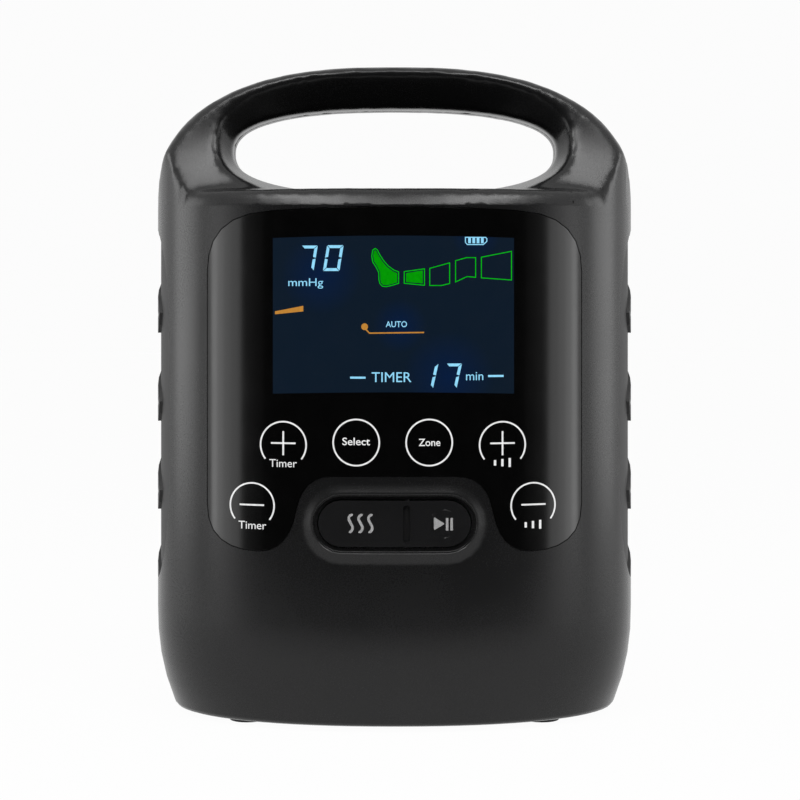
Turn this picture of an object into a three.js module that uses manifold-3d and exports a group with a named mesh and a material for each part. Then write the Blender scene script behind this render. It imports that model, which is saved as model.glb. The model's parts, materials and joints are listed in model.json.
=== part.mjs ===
import * as THREE from 'three';
import { mergeVertices } from 'three/addons/utils/BufferGeometryUtils.js';
import Module from 'manifold-3d';

// Compression therapy pump: a carried cabinet with a bowed front, a grip opening under its
// arched top, an air pump with its valves inside, and a glossy control panel.
// Millimetres. X to the right as the user faces the panel, Y to the rear, Z up.
// The origin is on the table under the middle of the cabinet.

// Cabinet
const BODY_HALF_WIDTH = 93;
const FRONT_DEPTH = 58;
const REAR_DEPTH = 52;
const BASE_Z = 2;
const LEDGE_Z = 202;
const TOP_Z = 250;
const ARCH_START_Z = 191.8;
const FLANK_START_Z = 41;
const FLANK_DRAW_IN = 7.5;
const REAR_SLOPE_START_Z = 158;
const FACE_DRAW_IN = 5;
const FACE_LEAN = 3;
const LEAN_START_Z = 195.6;
const EDGE_ROUND = 2;
const WALL = 3.4;
const FLANK_WALL = 6;
const SPLIT_Y = -4;
const FIT_GAP = 0.3;
const OVERSHOOT = 8;
const ARCH_POWER = 2.62;
const FRONT_POWER = 2.15;
const REAR_POWER = 3.2;
const FLANK_POWER = 2.3;
const SLOPE_POWER = 2.2;
const LEAN_POWER = 1.1;

// Carrying handle
const HANDLE_FRONT_Y = -27;
const HANDLE_SWEEP = 14;
const SWEEP_TOP_Z = 243;
const SWEEP_POWER = 1.67;
const HANDLE_BOW = 10;
const HANDLE_SIDE_ROOM = 10.4;
const HANDLE_BOW_REACH = BODY_HALF_WIDTH - HANDLE_SIDE_ROOM;
const HANDLE_REAR_Y = 14;
const HANDLE_ROUND = 3;
const CREASE_SIDE_ROOM = 25;
const CREASE_HALF_WIDTH = BODY_HALF_WIDTH - CREASE_SIDE_ROOM;
const CREASE_HALF_HEIGHT = 24.8;
const CREASE_Z = 222;
const GRIP_SIDE_ROOM = 30.1;
const GRIP_HOLE_HALF_WIDTH = BODY_HALF_WIDTH - GRIP_SIDE_ROOM;
const GRIP_HOLE_HALF_HEIGHT = 16.5;
const GRIP_HOLE_Z = 218;
const GRIP_HOLE_FRONT_Y = -14;
const GRIP_HOLE_REAR_Y = 6;
const GRIP_HOLE_FLARE = 5;
const OPENING_POWER = 2.5;

// Control panel: the lens outline runs from the notch over a lobe and up to the top edge. Each
// curve has three places: across as shares of the body's half width, and up.
const PANEL_NOTCH_Z = 95.5;
const PANEL_NOTCH_SHARE = 0.2376;
const PANEL_X_SHARES = [
  [0.328, 0.3763, 0.3935],
  [0.4108, 0.457, 0.5419],
  [0.672, 0.7559, 0.7559],
  [0.7559, 0.7559, 0.7559],
  [0.7559, 0.6882, 0.4946],
  [0.3333, 0.1613, 0],
];
const PANEL_HEIGHTS = [
  [95.5, 91, 82],
  [73, 67.2, 67.2],
  [67.2, 71.5, 84],
  [113, 142, 171],
  [184, 192.6, 193.4],
  [194.3, 194.8, 194.8],
];
const LENS_THICK = 1.6;
const LENS_INSET = 0.1;
const WINDOW_WIDTH_SHARE = 0.4892;
const WINDOW_HALF_WIDTH = BODY_HALF_WIDTH * WINDOW_WIDTH_SHARE;
const WINDOW_LOW_Z = 125;
const WINDOW_HIGH_Z = 184.5;

// Two-way key in its raised collar: pairs are outset from the key and height over the face
const KEY_LENGTH_SHARE = 0.3032;
const KEY_HALF_LENGTH = BODY_HALF_WIDTH * KEY_LENGTH_SHARE;
const KEY_HALF_HEIGHT = 8.55;
const KEY_Z = 78;
const KEY_THICK = 2.4;
const KEY_HOLE_END_SHARE = 0.33;
const KEY_RISE = 0.5;
const KEY_GAP = 0.45;
const COLLAR_PROFILE = [[7.2, -2], [7.2, 0], [5.2, 0.35], [3.4, 1.1], [2.5, 1.35], [2, 1.2]];
const COLLAR_FLOOR_DEPTH = 0.4;
const KEY_DIVIDER_X = 4.5;
const KEY_SLOT_HALF_WIDTH = 1.35;
const KEY_SLOT_HALF_HEIGHT = 6.8;
const KEY_SLOT_DEPTH = 1.1;
const KEY_DISH_X = 18.7;
const KEY_DISH_RADIUS = 6;
const KEY_DISH_DEPTH = 0.35;
const KEY_DISH_FLOOR_SHARE = 0.8;
const HINGE_SINK = 4.6;
const PIN_RADIUS = 1;
const PIN_GAP = 0.25;
const PIN_BOSS_HEIGHT = 4;
const PIN_BOSS_HALF_WIDTH = 2.8;
const BARREL_HALF_HEIGHT = 7.5;
const BARREL_RADIUS = 2.6;
const POST_REACH = 16;
const POST_RADIUS = 2;
const POST_TRAVEL = 0.8;
const SWITCH_TIP_Y = -45;

// Side grips
const PAD_Y = 3;
const PAD_Z = 119.5;
const PAD_HALF_DEPTH = 27;
const PAD_HALF_HEIGHT = 68.5;
const PAD_THICK = 3.2;
const RIB_RISE = 1.2;
const RIB_ROOT = 0.3;
const RIB_HALF_WIDTH = 2.5;
const RIB_HALF_HEIGHT = 13.2;
const RIB_SWAY = 13;
const RIB_ROWS = 4;
const RIB_PITCH = 34.5;
const RIB_TOP_OFFSET = 43.5;
const PAD_POWER = 3.6;
const RIB_SWING_SHARE = 0.8;

// Housing screws: pairs at three heights, driven from the rear into posts of the front shell
const SHELL_SCREWS = {
  lowX: 66, lowZ: 16, middleRoom: 17, middleZ: 112, highRoom: 19, highZ: 189,
};
const POST_WIDTH_RADIUS = 4.6;
const SCREW_SEAT_Y = 8;
const SCREW_END_Y = -20;
const SCREW_HEAD_RADIUS = 2.9;
const SCREW_HEAD_THICK = 2.6;
const SCREW_SHANK_RADIUS = 1.2;
const SCREW_CLEARANCE = 0.4;

// Feet
const FOOT_SIDE_ROOM = 37;
const FOOT_X = BODY_HALF_WIDTH - FOOT_SIDE_ROOM;
const FOOT_FRONT_Y = -26;
const FOOT_REAR_Y = 30;
const FOOT_RADIUS = 7;
const FOOT_HEIGHT = 3.3;

// Screen, control board and what sits on it; the board faces the front
const SCREEN = { widthShare: 0.5376, front: -45.2, rear: -38, low: 121, topRoom: 14 };
const SCREEN_HALF_WIDTH = BODY_HALF_WIDTH * SCREEN.widthShare;
const SCREEN_HIGH_Z = LEDGE_Z - SCREEN.topRoom;
const BOARD = { widthShare: 0.6452, front: -37.6, rear: -36, low: 62, topRoom: 10 };
const BOARD_HALF_WIDTH = BODY_HALF_WIDTH * BOARD.widthShare;
const BOARD_HIGH_Z = LEDGE_Z - BOARD.topRoom;
const BOARD_SCREW_INSET = { side: 5, low: 6, high: 4 };
const BOARD_POST_SINK = 4.2;
const BOARD_POST_RADIUS = 3.2;
const BOARD_SCREW_RADIUS = 1.1;
const BOARD_SCREW_HEAD_RADIUS = 2.5;
const BOARD_SCREW_HEAD_THICK = 1.6;
const BOARD_SCREW_END = -43;
const SWITCH_HALF = 3;
const SWITCH_BODY_THICK = 3.6;
const SWITCH_TIP_RADIUS = 1.6;
const SENSOR = { sideRoom: 43, wide: 10, thick: 5, z: [80, 90], nippleRadius: 2, nipple: 4 };
const BUZZER = { sideRoom: 51, z: 85, radius: 6, thick: 8 };

// Battery in its tray behind the board
const BATTERY = { halfWidth: 34, front: -33.4, rear: -15, low: 128.3, high: 182, round: 4 };
const TRAY = { halfWidth: 37, thick: 1.7, lip: 14, gap: 0.4 };

// Air pump: motor along X, crankcase with the eccentric, head on top
const PUMP_Y = 2;
const PUMP_Z = 38;
const MOTOR = { from: -2, to: 56, radius: 17, noseRadius: 8, nose: 4, boreRadius: 2.3, bore: 16 };
const CASE = { from: -52, to: -6.3, halfDepth: 20, low: 18, high: 60, wall: 9.7, hollow: 15 };
const CASE_COVER_THICK = 2.7;
const SHAFT = { radius: 1.9, from: -40, to: 8, discRadius: 9, disc: [-40, -26], throw: 2.5 };
const HEAD = { from: -50, to: -10, halfDepth: 18, high: 76, nippleX: -44, nipple: 8 };
const HEAD_NIPPLE_RADIUS = 2.4;
const NIPPLE_BORE = 1.2;
const CASE_MOUNT = { x: [-46, -20], halfDepth: 14 };
const MOTOR_MOUNT = { x: [4, 22], halfDepth: 12, high: 26 };

// Valve block with four solenoid valves in front of it
const BLOCK = { halfWidth: 44, front: 24, rear: 36, low: 96, high: 108, bore: 3 };
const BLOCK_POST = { x: 38, radius: 4 };
const VALVE = { pitch: 22, halfWidth: 8, long: 20, low: 92, high: 112, bore: 4, wall: 4.3 };
const PLUNGER = { radius: 3.6, long: 12, back: 1.5 };
const VALVE_COUNT = 4;

// Hose sockets in the rear wall
const SOCKET_X = 27;
const SOCKET_Z = 128;
const SOCKET = { halfWidth: 15, halfHeight: 9, front: 30, rear: 50.2, lip: 3, floor: 6.2 };
const SOCKET_BORES = { pitch: 5.4, radius: 1.3, count: 4 };

// Air tubes: outlets to the sockets and the feed from the pump head
const TUBE_RADIUS = 2.5;
const TUBE_BORE = 1.4;
const OUTLET_PATH = [
  [20, 30, 108.5], [20, 30, 111.5], [22, 24, 119], [26, 21.5, 126], [27, 26, 128], [27, 29.5, 128],
];
const FEED_PATH = [
  [-44, 2, 84.5], [-44, 2, 87.5], [-50, 5, 95], [-54.5, 17, 100], [-51, 29, 102], [-47, 30, 102],
  [-44.5, 30, 102],
];

// Cooling fan behind the rear vents
const FAN_Z = 50;
const FAN = { half: 20, front: 38.1, rear: 48.1, hole: 18.5, hub: 8, base: 3, strut: 2 };
const FAN_BLADE = { reach: 17.6, thick: 1.2, front: 1, count: 7, root: 6, shaft: 1, gap: 0.6 };
const VENT = { halfWidth: 17, half: 1.2, pitch: 5.6, count: 7 };

// Mains-adaptor inlet, power switch and supply board at the rear foot
const JACK = { sideRoom: 47, z: 21.5, half: 6, front: 34, body: 45, nose: 49, noseRadius: 5 };
const JACK_BORE = { radius: 3.2, floor: 38, pin: 1, pinEnd: 46.5 };
const POWER = { sideRoom: 47, z: 22, halfWidth: 8.5, halfHeight: 6, front: 30, rear: 50 };
const POWER_WELL = { halfWidth: 7, halfHeight: 4.5, floor: 41.8 };
const ROCKER = { axisY: 45.5, half: 5.6, low: 1, near: 2.9, mid: 3.3, far: 4.6, gap: 0.4 };
const ROCKER_PIN = { radius: 1.2, gap: 0.3, sunk: 1 };
const SUPPLY = { nearX: 26, sideRoom: 33, y: [4, 34], low: 9.3, thick: 1.6, inset: 5, post: 3 };

// Steps in the curves
const FINE = { front: 36, rear: 18, arch: 52, opening: 60, flank: 4, slope: 5, sweep: 8, round: 2 };
const COARSE = { front: 14, rear: 8, arch: 14, opening: 20, flank: 2, slope: 3, sweep: 3, round: 1 };
const NOTCH_STEPS = 4;
const CURVE_STEPS = 6;
const KEY_END_STEPS = 10;
const KEY_STRAIGHT_STEPS = 6;
const PAD_STEPS = 32;
const RIB_STEPS = 10;
const TUBE_SIDES = 8;
const TUBE_STEPS = 8;
const BLADE_TWIST_SHARE = 5;
const ROD_STEPS = 18;
const FINE_ROD_STEPS = 8;

const wasm = await Module();
wasm.setup();

// Geometry helpers

function solid(geometry) {
  const plain = geometry.clone();
  plain.deleteAttribute('normal');
  plain.deleteAttribute('uv');
  const merged = mergeVertices(plain);
  const vertProperties = new Float32Array(merged.attributes.position.array);
  const triVerts = new Uint32Array(merged.index.array);
  return new wasm.Manifold(new wasm.Mesh({ numProp: 3, vertProperties, triVerts }));
}

function geometryOf(body) {
  const mesh = body.getMesh();
  const geometry = new THREE.BufferGeometry();
  geometry.setAttribute('position', new THREE.BufferAttribute(mesh.vertProperties, 3));
  geometry.setIndex(new THREE.BufferAttribute(mesh.triVerts, 1));
  geometry.computeVertexNormals();
  return geometry;
}

function box(x0, x1, y0, y1, z0, z1) {
  const geometry = new THREE.BoxGeometry(x1 - x0, y1 - y0, z1 - z0);
  geometry.translate((x0 + x1) / 2, (y0 + y1) / 2, (z0 + z1) / 2);
  return solid(geometry);
}

function prismX(shape, x0, x1) {
  const geometry = new THREE.ExtrudeGeometry(shape, { depth: x1 - x0, bevelEnabled: false });
  const turn = new THREE.Matrix4().makeBasis(
    new THREE.Vector3(0, 1, 0),
    new THREE.Vector3(0, 0, 1),
    new THREE.Vector3(1, 0, 0),
  );
  geometry.applyMatrix4(turn);
  geometry.translate(x0, 0, 0);
  return solid(geometry);
}

function prismY(shape, y0, y1) {
  const geometry = new THREE.ExtrudeGeometry(shape, { depth: y1 - y0, bevelEnabled: false });
  geometry.rotateX(Math.PI / 2);
  geometry.translate(0, y1, 0);
  return solid(geometry);
}

function prismZ(shape, z0, z1) {
  const geometry = new THREE.ExtrudeGeometry(shape, { depth: z1 - z0, bevelEnabled: false });
  geometry.translate(0, 0, z0);
  return solid(geometry);
}

function rodX(x0, x1, y, z, radius, steps = ROD_STEPS) {
  const geometry = new THREE.CylinderGeometry(radius, radius, x1 - x0, steps);
  geometry.rotateZ(Math.PI / 2);
  geometry.translate((x0 + x1) / 2, y, z);
  return solid(geometry);
}

function rodY(x, y0, y1, z, radius, steps = ROD_STEPS) {
  const geometry = new THREE.CylinderGeometry(radius, radius, y1 - y0, steps);
  geometry.translate(x, (y0 + y1) / 2, z);
  return solid(geometry);
}

function rodZ(x, y, z0, z1, radius, steps = ROD_STEPS) {
  const geometry = new THREE.CylinderGeometry(radius, radius, z1 - z0, steps);
  geometry.rotateX(Math.PI / 2);
  geometry.translate(x, y, (z0 + z1) / 2);
  return solid(geometry);
}

function union(bodies) {
  let whole = bodies[0];
  for (const body of bodies.slice(1)) {
    whole = whole.add(body);
  }
  return whole;
}

// A closed skin through rings of equal point counts, with a fan over each end ring.
function loft(rings) {
  const points = rings.flat();
  const count = rings[0].length;
  const faces = [];
  for (let ring = 0; ring + 1 < rings.length; ring += 1) {
    for (let step = 0; step < count; step += 1) {
      const next = (step + 1) % count;
      const near = ring * count;
      const far = near + count;
      faces.push(near + step, near + next, far + next);
      faces.push(near + step, far + next, far + step);
    }
  }
  const ends = [rings[0], rings[rings.length - 1]];
  const offsets = [0, (rings.length - 1) * count];
  ends.forEach((ring, end) => {
    const middle = new THREE.Vector3();
    ring.forEach((point) => middle.add(point));
    points.push(middle.divideScalar(count));
    for (let step = 0; step < count; step += 1) {
      const next = (step + 1) % count;
      const pair = end === 0 ? [next, step] : [step, next];
      faces.push(points.length - 1, offsets[end] + pair[0], offsets[end] + pair[1]);
    }
  });
  let volume = 0;
  for (let corner = 0; corner < faces.length; corner += 3) {
    const [a, b, c] = [points[faces[corner]], points[faces[corner + 1]], points[faces[corner + 2]]];
    volume += a.dot(new THREE.Vector3().crossVectors(b, c));
  }
  if (volume < 0) {
    faces.reverse();
  }
  const geometry = new THREE.BufferGeometry().setFromPoints(points);
  geometry.setIndex(faces);
  return solid(geometry);
}

// Height of a superellipse of half axes a and b above its first axis, at distance x along it.
function bulge(x, a, b, power) {
  const share = Math.min(Math.abs(x) / a, 1);
  return b * Math.pow(1 - Math.pow(share, power), 1 / power);
}

// Points of a superellipse from angle start to angle end, without the last one.
function superellipse(a, b, power, start, end, steps) {
  const points = [];
  for (let step = 0; step < steps; step += 1) {
    const angle = start + ((end - start) * step) / steps;
    const cosine = Math.cos(angle);
    const sine = Math.sin(angle);
    const x = a * Math.sign(cosine) * Math.pow(Math.abs(cosine), 2 / power);
    const y = b * Math.sign(sine) * Math.pow(Math.abs(sine), 2 / power);
    points.push(new THREE.Vector2(x, y));
  }
  return points;
}

// Quarter round: pairs of how far along and how far in, from the face to the flank.
function roundPairs(radius, steps) {
  const pairs = [];
  for (let step = 0; step <= steps; step += 1) {
    const angle = (Math.PI / 2) * (step / steps);
    pairs.push([radius * (1 - Math.cos(angle)), radius * (1 - Math.sin(angle))]);
  }
  return pairs;
}

const pieces = new THREE.Group();

function place(name, body, color, roughness, metalness) {
  const material = new THREE.MeshStandardMaterial({ color, roughness, metalness });
  const mesh = new THREE.Mesh(geometryOf(body), material);
  mesh.name = name;
  pieces.add(mesh);
}

// Cabinet

function flankHalfWidth(z) {
  const share = Math.max(0, (FLANK_START_Z - z) / (FLANK_START_Z - BASE_Z));
  return BODY_HALF_WIDTH - FLANK_DRAW_IN * Math.pow(share, FLANK_POWER);
}

function rearDepth(z) {
  const rise = Math.max(0, z - REAR_SLOPE_START_Z);
  const slope = REAR_DEPTH - HANDLE_REAR_Y;
  return HANDLE_REAR_Y + bulge(rise, LEDGE_Z - REAR_SLOPE_START_Z, slope, SLOPE_POWER);
}

function frontDepth(z) {
  const low = Math.max(0, (FLANK_START_Z - z) / (FLANK_START_Z - BASE_Z));
  const high = Math.max(0, (z - LEAN_START_Z) / (LEDGE_Z - LEAN_START_Z));
  const drawnIn = FACE_DRAW_IN * Math.pow(low, FLANK_POWER);
  return FRONT_DEPTH - drawnIn - FACE_LEAN * Math.pow(high, LEAN_POWER);
}

function cabinetRing(z, sideInset, faceInset, steps = FINE) {
  const halfWidth = flankHalfWidth(z) - sideInset;
  const front = superellipse(
    halfWidth, frontDepth(z) - faceInset, FRONT_POWER, Math.PI, 2 * Math.PI, steps.front,
  );
  const rear = superellipse(
    halfWidth, rearDepth(z) - faceInset, REAR_POWER, 0, Math.PI, steps.rear,
  );
  return [...front, ...rear].map((point) => new THREE.Vector3(point.x, point.y, z));
}

function cabinetBlock(sideInset, faceInset, floor, ceiling, round, steps = FINE) {
  const levels = [];
  for (const [along, inset] of roundPairs(round, steps.round)) {
    levels.push([floor + along, inset]);
  }
  for (let step = 1; step <= steps.flank; step += 1) {
    levels.push([floor + round + ((FLANK_START_Z - floor - round) * step) / steps.flank, 0]);
  }
  for (let step = 0; step < steps.slope; step += 1) {
    const share = Math.sin((Math.PI / 2) * (step / steps.slope));
    levels.push([REAR_SLOPE_START_Z + (ceiling - round - REAR_SLOPE_START_Z) * share, 0]);
  }
  levels.push([LEAN_START_Z, 0]);
  for (const [along, inset] of roundPairs(round, steps.round).reverse()) {
    levels.push([ceiling - along, inset]);
  }
  levels.sort((lower, upper) => lower[0] - upper[0]);
  const rings = levels.map(
    ([z, inset]) => cabinetRing(z, sideInset + inset, faceInset + inset, steps),
  );
  return loft(rings);
}

function archShape(inset, foot, steps = FINE) {
  const halfWidth = BODY_HALF_WIDTH - inset;
  const height = TOP_Z - inset - ARCH_START_Z;
  const arch = superellipse(halfWidth, height, ARCH_POWER, 0, Math.PI, steps.arch);
  arch.push(new THREE.Vector2(-halfWidth, 0));
  const outline = arch.map((point) => new THREE.Vector2(point.x, point.y + ARCH_START_Z));
  outline.push(new THREE.Vector2(-halfWidth, foot));
  outline.push(new THREE.Vector2(halfWidth, foot));
  return outline;
}

// The front of the handle is bowed like the cabinet, and its legs sweep forward to the ledge.
function handleFaceY(x, z) {
  const share = Math.min(Math.max((SWEEP_TOP_Z - z) / (SWEEP_TOP_Z - LEDGE_Z), 0), 1);
  const bowed = HANDLE_FRONT_Y + HANDLE_BOW * (x / HANDLE_BOW_REACH) ** 2;
  return bowed - HANDLE_SWEEP * Math.pow(share, SWEEP_POWER);
}

// All that lies behind the front face of the handle.
function handleDepths(inset, foot, steps = FINE) {
  const levels = [foot - OVERSHOOT, LEDGE_Z];
  for (let step = 1; step <= steps.sweep; step += 1) {
    levels.push(LEDGE_Z + ((SWEEP_TOP_Z - LEDGE_Z) * step) / steps.sweep);
  }
  levels.push(TOP_Z + OVERSHOOT);
  const reach = BODY_HALF_WIDTH + OVERSHOOT;
  return loft(levels.map((z) => {
    const ring = [];
    for (let step = 0; step <= steps.front; step += 1) {
      const x = -reach + (2 * reach * step) / steps.front;
      ring.push(new THREE.Vector3(x, handleFaceY(x, z) + inset, z));
    }
    ring.push(new THREE.Vector3(reach, HANDLE_REAR_Y + OVERSHOOT, z));
    ring.push(new THREE.Vector3(-reach, HANDLE_REAR_Y + OVERSHOOT, z));
    return ring;
  }));
}

// The arched slab behind the ledge, its outer edges rounded front and rear.
function handleSlab(inset, foot, round, steps = FINE) {
  const front = roundPairs(round, steps.round);
  const rings = [];
  const addRing = (extra, away, bowed) => {
    const outline = archShape(inset + extra, foot, steps);
    rings.push(outline.map((point) => {
      const faceY = handleFaceY(point.x, point.y) + inset + away;
      return new THREE.Vector3(point.x, bowed ? faceY : HANDLE_REAR_Y - inset - away, point.y);
    }));
  };
  addRing(front[0][1], -OVERSHOOT - HANDLE_SWEEP, true);
  front.forEach(([along, extra]) => addRing(extra, along, true));
  front.slice().reverse().forEach(([along, extra]) => addRing(extra, along, false));
  return loft(rings).intersect(handleDepths(inset, foot, steps));
}

// The funnel and the hole under the handle that the fingers go through.
function gripCutter(margin, floor, steps = FINE) {
  const mix = (from, to, share) => from + (to - from) * share;
  const ringAt = (y, share, flare) => {
    const a = mix(CREASE_HALF_WIDTH, GRIP_HOLE_HALF_WIDTH, share) + margin + flare;
    const b = mix(CREASE_HALF_HEIGHT, GRIP_HOLE_HALF_HEIGHT, share) + margin + flare;
    const z = mix(CREASE_Z, GRIP_HOLE_Z, share);
    const outline = superellipse(a, b, OPENING_POWER, 0, 2 * Math.PI, steps.opening);
    return outline.map((point) => new THREE.Vector3(point.x, y, point.y + z));
  };
  const crease = ringAt(0, 0, 0);
  const ahead = (away) => crease.map((point) => new THREE.Vector3(
    point.x, handleFaceY(point.x, point.z) - away, point.z,
  ));
  const rings = [ahead(OVERSHOOT), ahead(0)];
  rings.push(ringAt(GRIP_HOLE_FRONT_Y, 1, 0));
  rings.push(ringAt(GRIP_HOLE_REAR_Y, 1, 0));
  rings.push(ringAt(HANDLE_REAR_Y, 1, GRIP_HOLE_FLARE));
  rings.push(ringAt(HANDLE_REAR_Y + OVERSHOOT, 1, GRIP_HOLE_FLARE));
  const reach = BODY_HALF_WIDTH + OVERSHOOT;
  const room = box(-reach, reach, -FRONT_DEPTH, REAR_DEPTH, floor, TOP_Z + OVERSHOOT);
  return loft(rings).intersect(room);
}

function halfSpace(front) {
  const reach = BODY_HALF_WIDTH + OVERSHOOT;
  const y0 = front ? -FRONT_DEPTH - OVERSHOOT : SPLIT_Y + FIT_GAP / 2;
  const y1 = front ? SPLIT_Y - FIT_GAP / 2 : REAR_DEPTH + OVERSHOOT;
  return box(-reach, reach, y0, y1, -OVERSHOOT, TOP_Z + OVERSHOOT);
}

function archPrism(inset, steps = FINE) {
  const shape = new THREE.Shape(archShape(inset, -OVERSHOOT, steps));
  return prismY(shape, -FRONT_DEPTH - OVERSHOOT, REAR_DEPTH + OVERSHOOT);
}

function planPrism(sideInset, faceInset, steps = FINE) {
  const upright = cabinetRing(FLANK_START_Z, sideInset, faceInset, steps);
  const shape = new THREE.Shape(upright.map((point) => new THREE.Vector2(point.x, point.y)));
  return prismZ(shape, -OVERSHOOT, TOP_Z + OVERSHOOT);
}

const outerCabinet = cabinetBlock(0, 0, BASE_Z, LEDGE_Z, EDGE_ROUND).intersect(archPrism(0));
const outerHandle = handleSlab(0, FLANK_START_Z, HANDLE_ROUND).intersect(planPrism(0, 0));
const outer = outerCabinet.add(outerHandle).subtract(gripCutter(0, LEDGE_Z));
const innerCabinet = cabinetBlock(
  FLANK_WALL, WALL, BASE_Z + WALL, LEDGE_Z - WALL, EDGE_ROUND, COARSE,
).intersect(archPrism(FLANK_WALL, COARSE));
const innerHandle = handleSlab(WALL, FLANK_START_Z + WALL, HANDLE_ROUND, COARSE)
  .intersect(planPrism(FLANK_WALL, WALL, COARSE))
  .subtract(gripCutter(WALL, LEDGE_Z - WALL, COARSE));
const inner = innerCabinet.add(innerHandle);
const shell = outer.subtract(inner);
let frontShell = shell.intersect(halfSpace(true));
let rearShell = shell.intersect(halfSpace(false));

// Control panel lens, screen window and two-way key

function cubicPoints(corners, steps) {
  const knots = corners.map((pair) => new THREE.Vector2(pair[0], pair[1]));
  const points = new THREE.CubicBezierCurve(...knots).getPoints(steps);
  return points.slice(1);
}

// Half the lens outline from the middle of its notch to the middle of its top edge.
function lensOutline(outset) {
  const half = [];
  let start = [BODY_HALF_WIDTH * PANEL_NOTCH_SHARE, PANEL_NOTCH_Z];
  for (let step = 0; step <= NOTCH_STEPS; step += 1) {
    half.push(new THREE.Vector2((start[0] * step) / NOTCH_STEPS, PANEL_NOTCH_Z));
  }
  PANEL_X_SHARES.forEach((shares, curve) => {
    const knots = shares.map((share, knot) => [
      BODY_HALF_WIDTH * share, PANEL_HEIGHTS[curve][knot],
    ]);
    half.push(...cubicPoints([start, ...knots], CURVE_STEPS));
    start = knots[knots.length - 1];
  });
  const mirrored = half.slice(1, -1).reverse().map((point) => new THREE.Vector2(-point.x, point.y));
  return grown([...half, ...mirrored], outset);
}

// The outline moved outwards along its normals by the outset.
function grown(outline, outset) {
  const count = outline.length;
  const area = THREE.ShapeUtils.area(outline);
  return outline.map((point, index) => {
    const before = outline[(index + count - 1) % count];
    const after = outline[(index + 1) % count];
    const along = after.clone().sub(before).normalize();
    const normal = new THREE.Vector2(along.y, -along.x);
    return point.clone().addScaledVector(normal, outset * Math.sign(area));
  });
}

// Stadium of the key, outset all round, with points along its straights to follow the bow.
function keyOutline(outset) {
  const arm = KEY_HALF_LENGTH - KEY_HALF_HEIGHT;
  const radius = KEY_HALF_HEIGHT + outset;
  const points = [];
  for (const side of [1, -1]) {
    for (let step = 0; step <= KEY_END_STEPS; step += 1) {
      const angle = -Math.PI / 2 + (Math.PI * step) / KEY_END_STEPS;
      const x = side * (arm + radius * Math.cos(angle));
      points.push(new THREE.Vector2(x, side * radius * Math.sin(angle) + KEY_Z));
    }
    for (let step = 1; step < KEY_STRAIGHT_STEPS; step += 1) {
      const x = side * (arm - (2 * arm * step) / KEY_STRAIGHT_STEPS);
      points.push(new THREE.Vector2(x, side * radius + KEY_Z));
    }
  }
  return points;
}

function frontFaceY(x) {
  return -bulge(x, BODY_HALF_WIDTH, FRONT_DEPTH, FRONT_POWER);
}

function bowedLoft(profile) {
  return loft(profile.map(([outset, height]) => keyOutline(outset).map(
    (point) => new THREE.Vector3(point.x, frontFaceY(point.x) - height, point.y),
  )));
}

const frontY = -FRONT_DEPTH - OVERSHOOT;
const lensPrism = prismY(new THREE.Shape(lensOutline(0)), frontY, 0);
const lensRoom = prismY(new THREE.Shape(lensOutline(FIT_GAP)), frontY, 0);
const lens = lensPrism
  .intersect(planPrism(LENS_INSET, LENS_INSET))
  .subtract(planPrism(LENS_THICK, LENS_THICK));
const lensSeat = planPrism(LENS_THICK + FIT_GAP, LENS_THICK + FIT_GAP);
const windowHole = box(
  -WINDOW_HALF_WIDTH, WINDOW_HALF_WIDTH, frontY, -FRONT_DEPTH / 2, WINDOW_LOW_Z, WINDOW_HIGH_Z,
);
const hingeY = -FRONT_DEPTH + HINGE_SINK;
const keyHoleDeep = -FRONT_DEPTH * KEY_HOLE_END_SHARE;
const collar = bowedLoft(COLLAR_PROFILE);
const collarDish = bowedLoft([
  [COLLAR_PROFILE[COLLAR_PROFILE.length - 1][0], OVERSHOOT],
  [COLLAR_PROFILE[COLLAR_PROFILE.length - 1][0], -COLLAR_FLOOR_DEPTH],
  [KEY_GAP, -COLLAR_FLOOR_DEPTH],
  [KEY_GAP, keyHoleDeep],
]);
const keyBosses = [1, -1].map((side) => {
  const near = KEY_Z + side * (KEY_HALF_HEIGHT + KEY_GAP + FIT_GAP);
  const far = near + side * PIN_BOSS_HEIGHT;
  return box(
    KEY_DIVIDER_X - PIN_BOSS_HALF_WIDTH, KEY_DIVIDER_X + PIN_BOSS_HALF_WIDTH,
    -FRONT_DEPTH + WALL / 2, hingeY + PIN_BOSS_HALF_WIDTH,
    Math.min(near, far), Math.max(near, far),
  );
});
const pinReach = KEY_HALF_HEIGHT + KEY_GAP + FIT_GAP + PIN_BOSS_HEIGHT;
const pinBore = rodZ(
  KEY_DIVIDER_X, hingeY, KEY_Z - pinReach, KEY_Z + pinReach, PIN_RADIUS + PIN_GAP, FINE_ROD_STEPS,
);
const pin = rodZ(
  KEY_DIVIDER_X, hingeY, KEY_Z - pinReach + FIT_GAP, KEY_Z + pinReach - FIT_GAP,
  PIN_RADIUS, FINE_ROD_STEPS,
);
frontShell = frontShell
  .subtract(lensRoom.subtract(lensSeat))
  .subtract(windowHole)
  .add(collar)
  .subtract(collarDish)
  .add(union(keyBosses))
  .subtract(pinBore);

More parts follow.
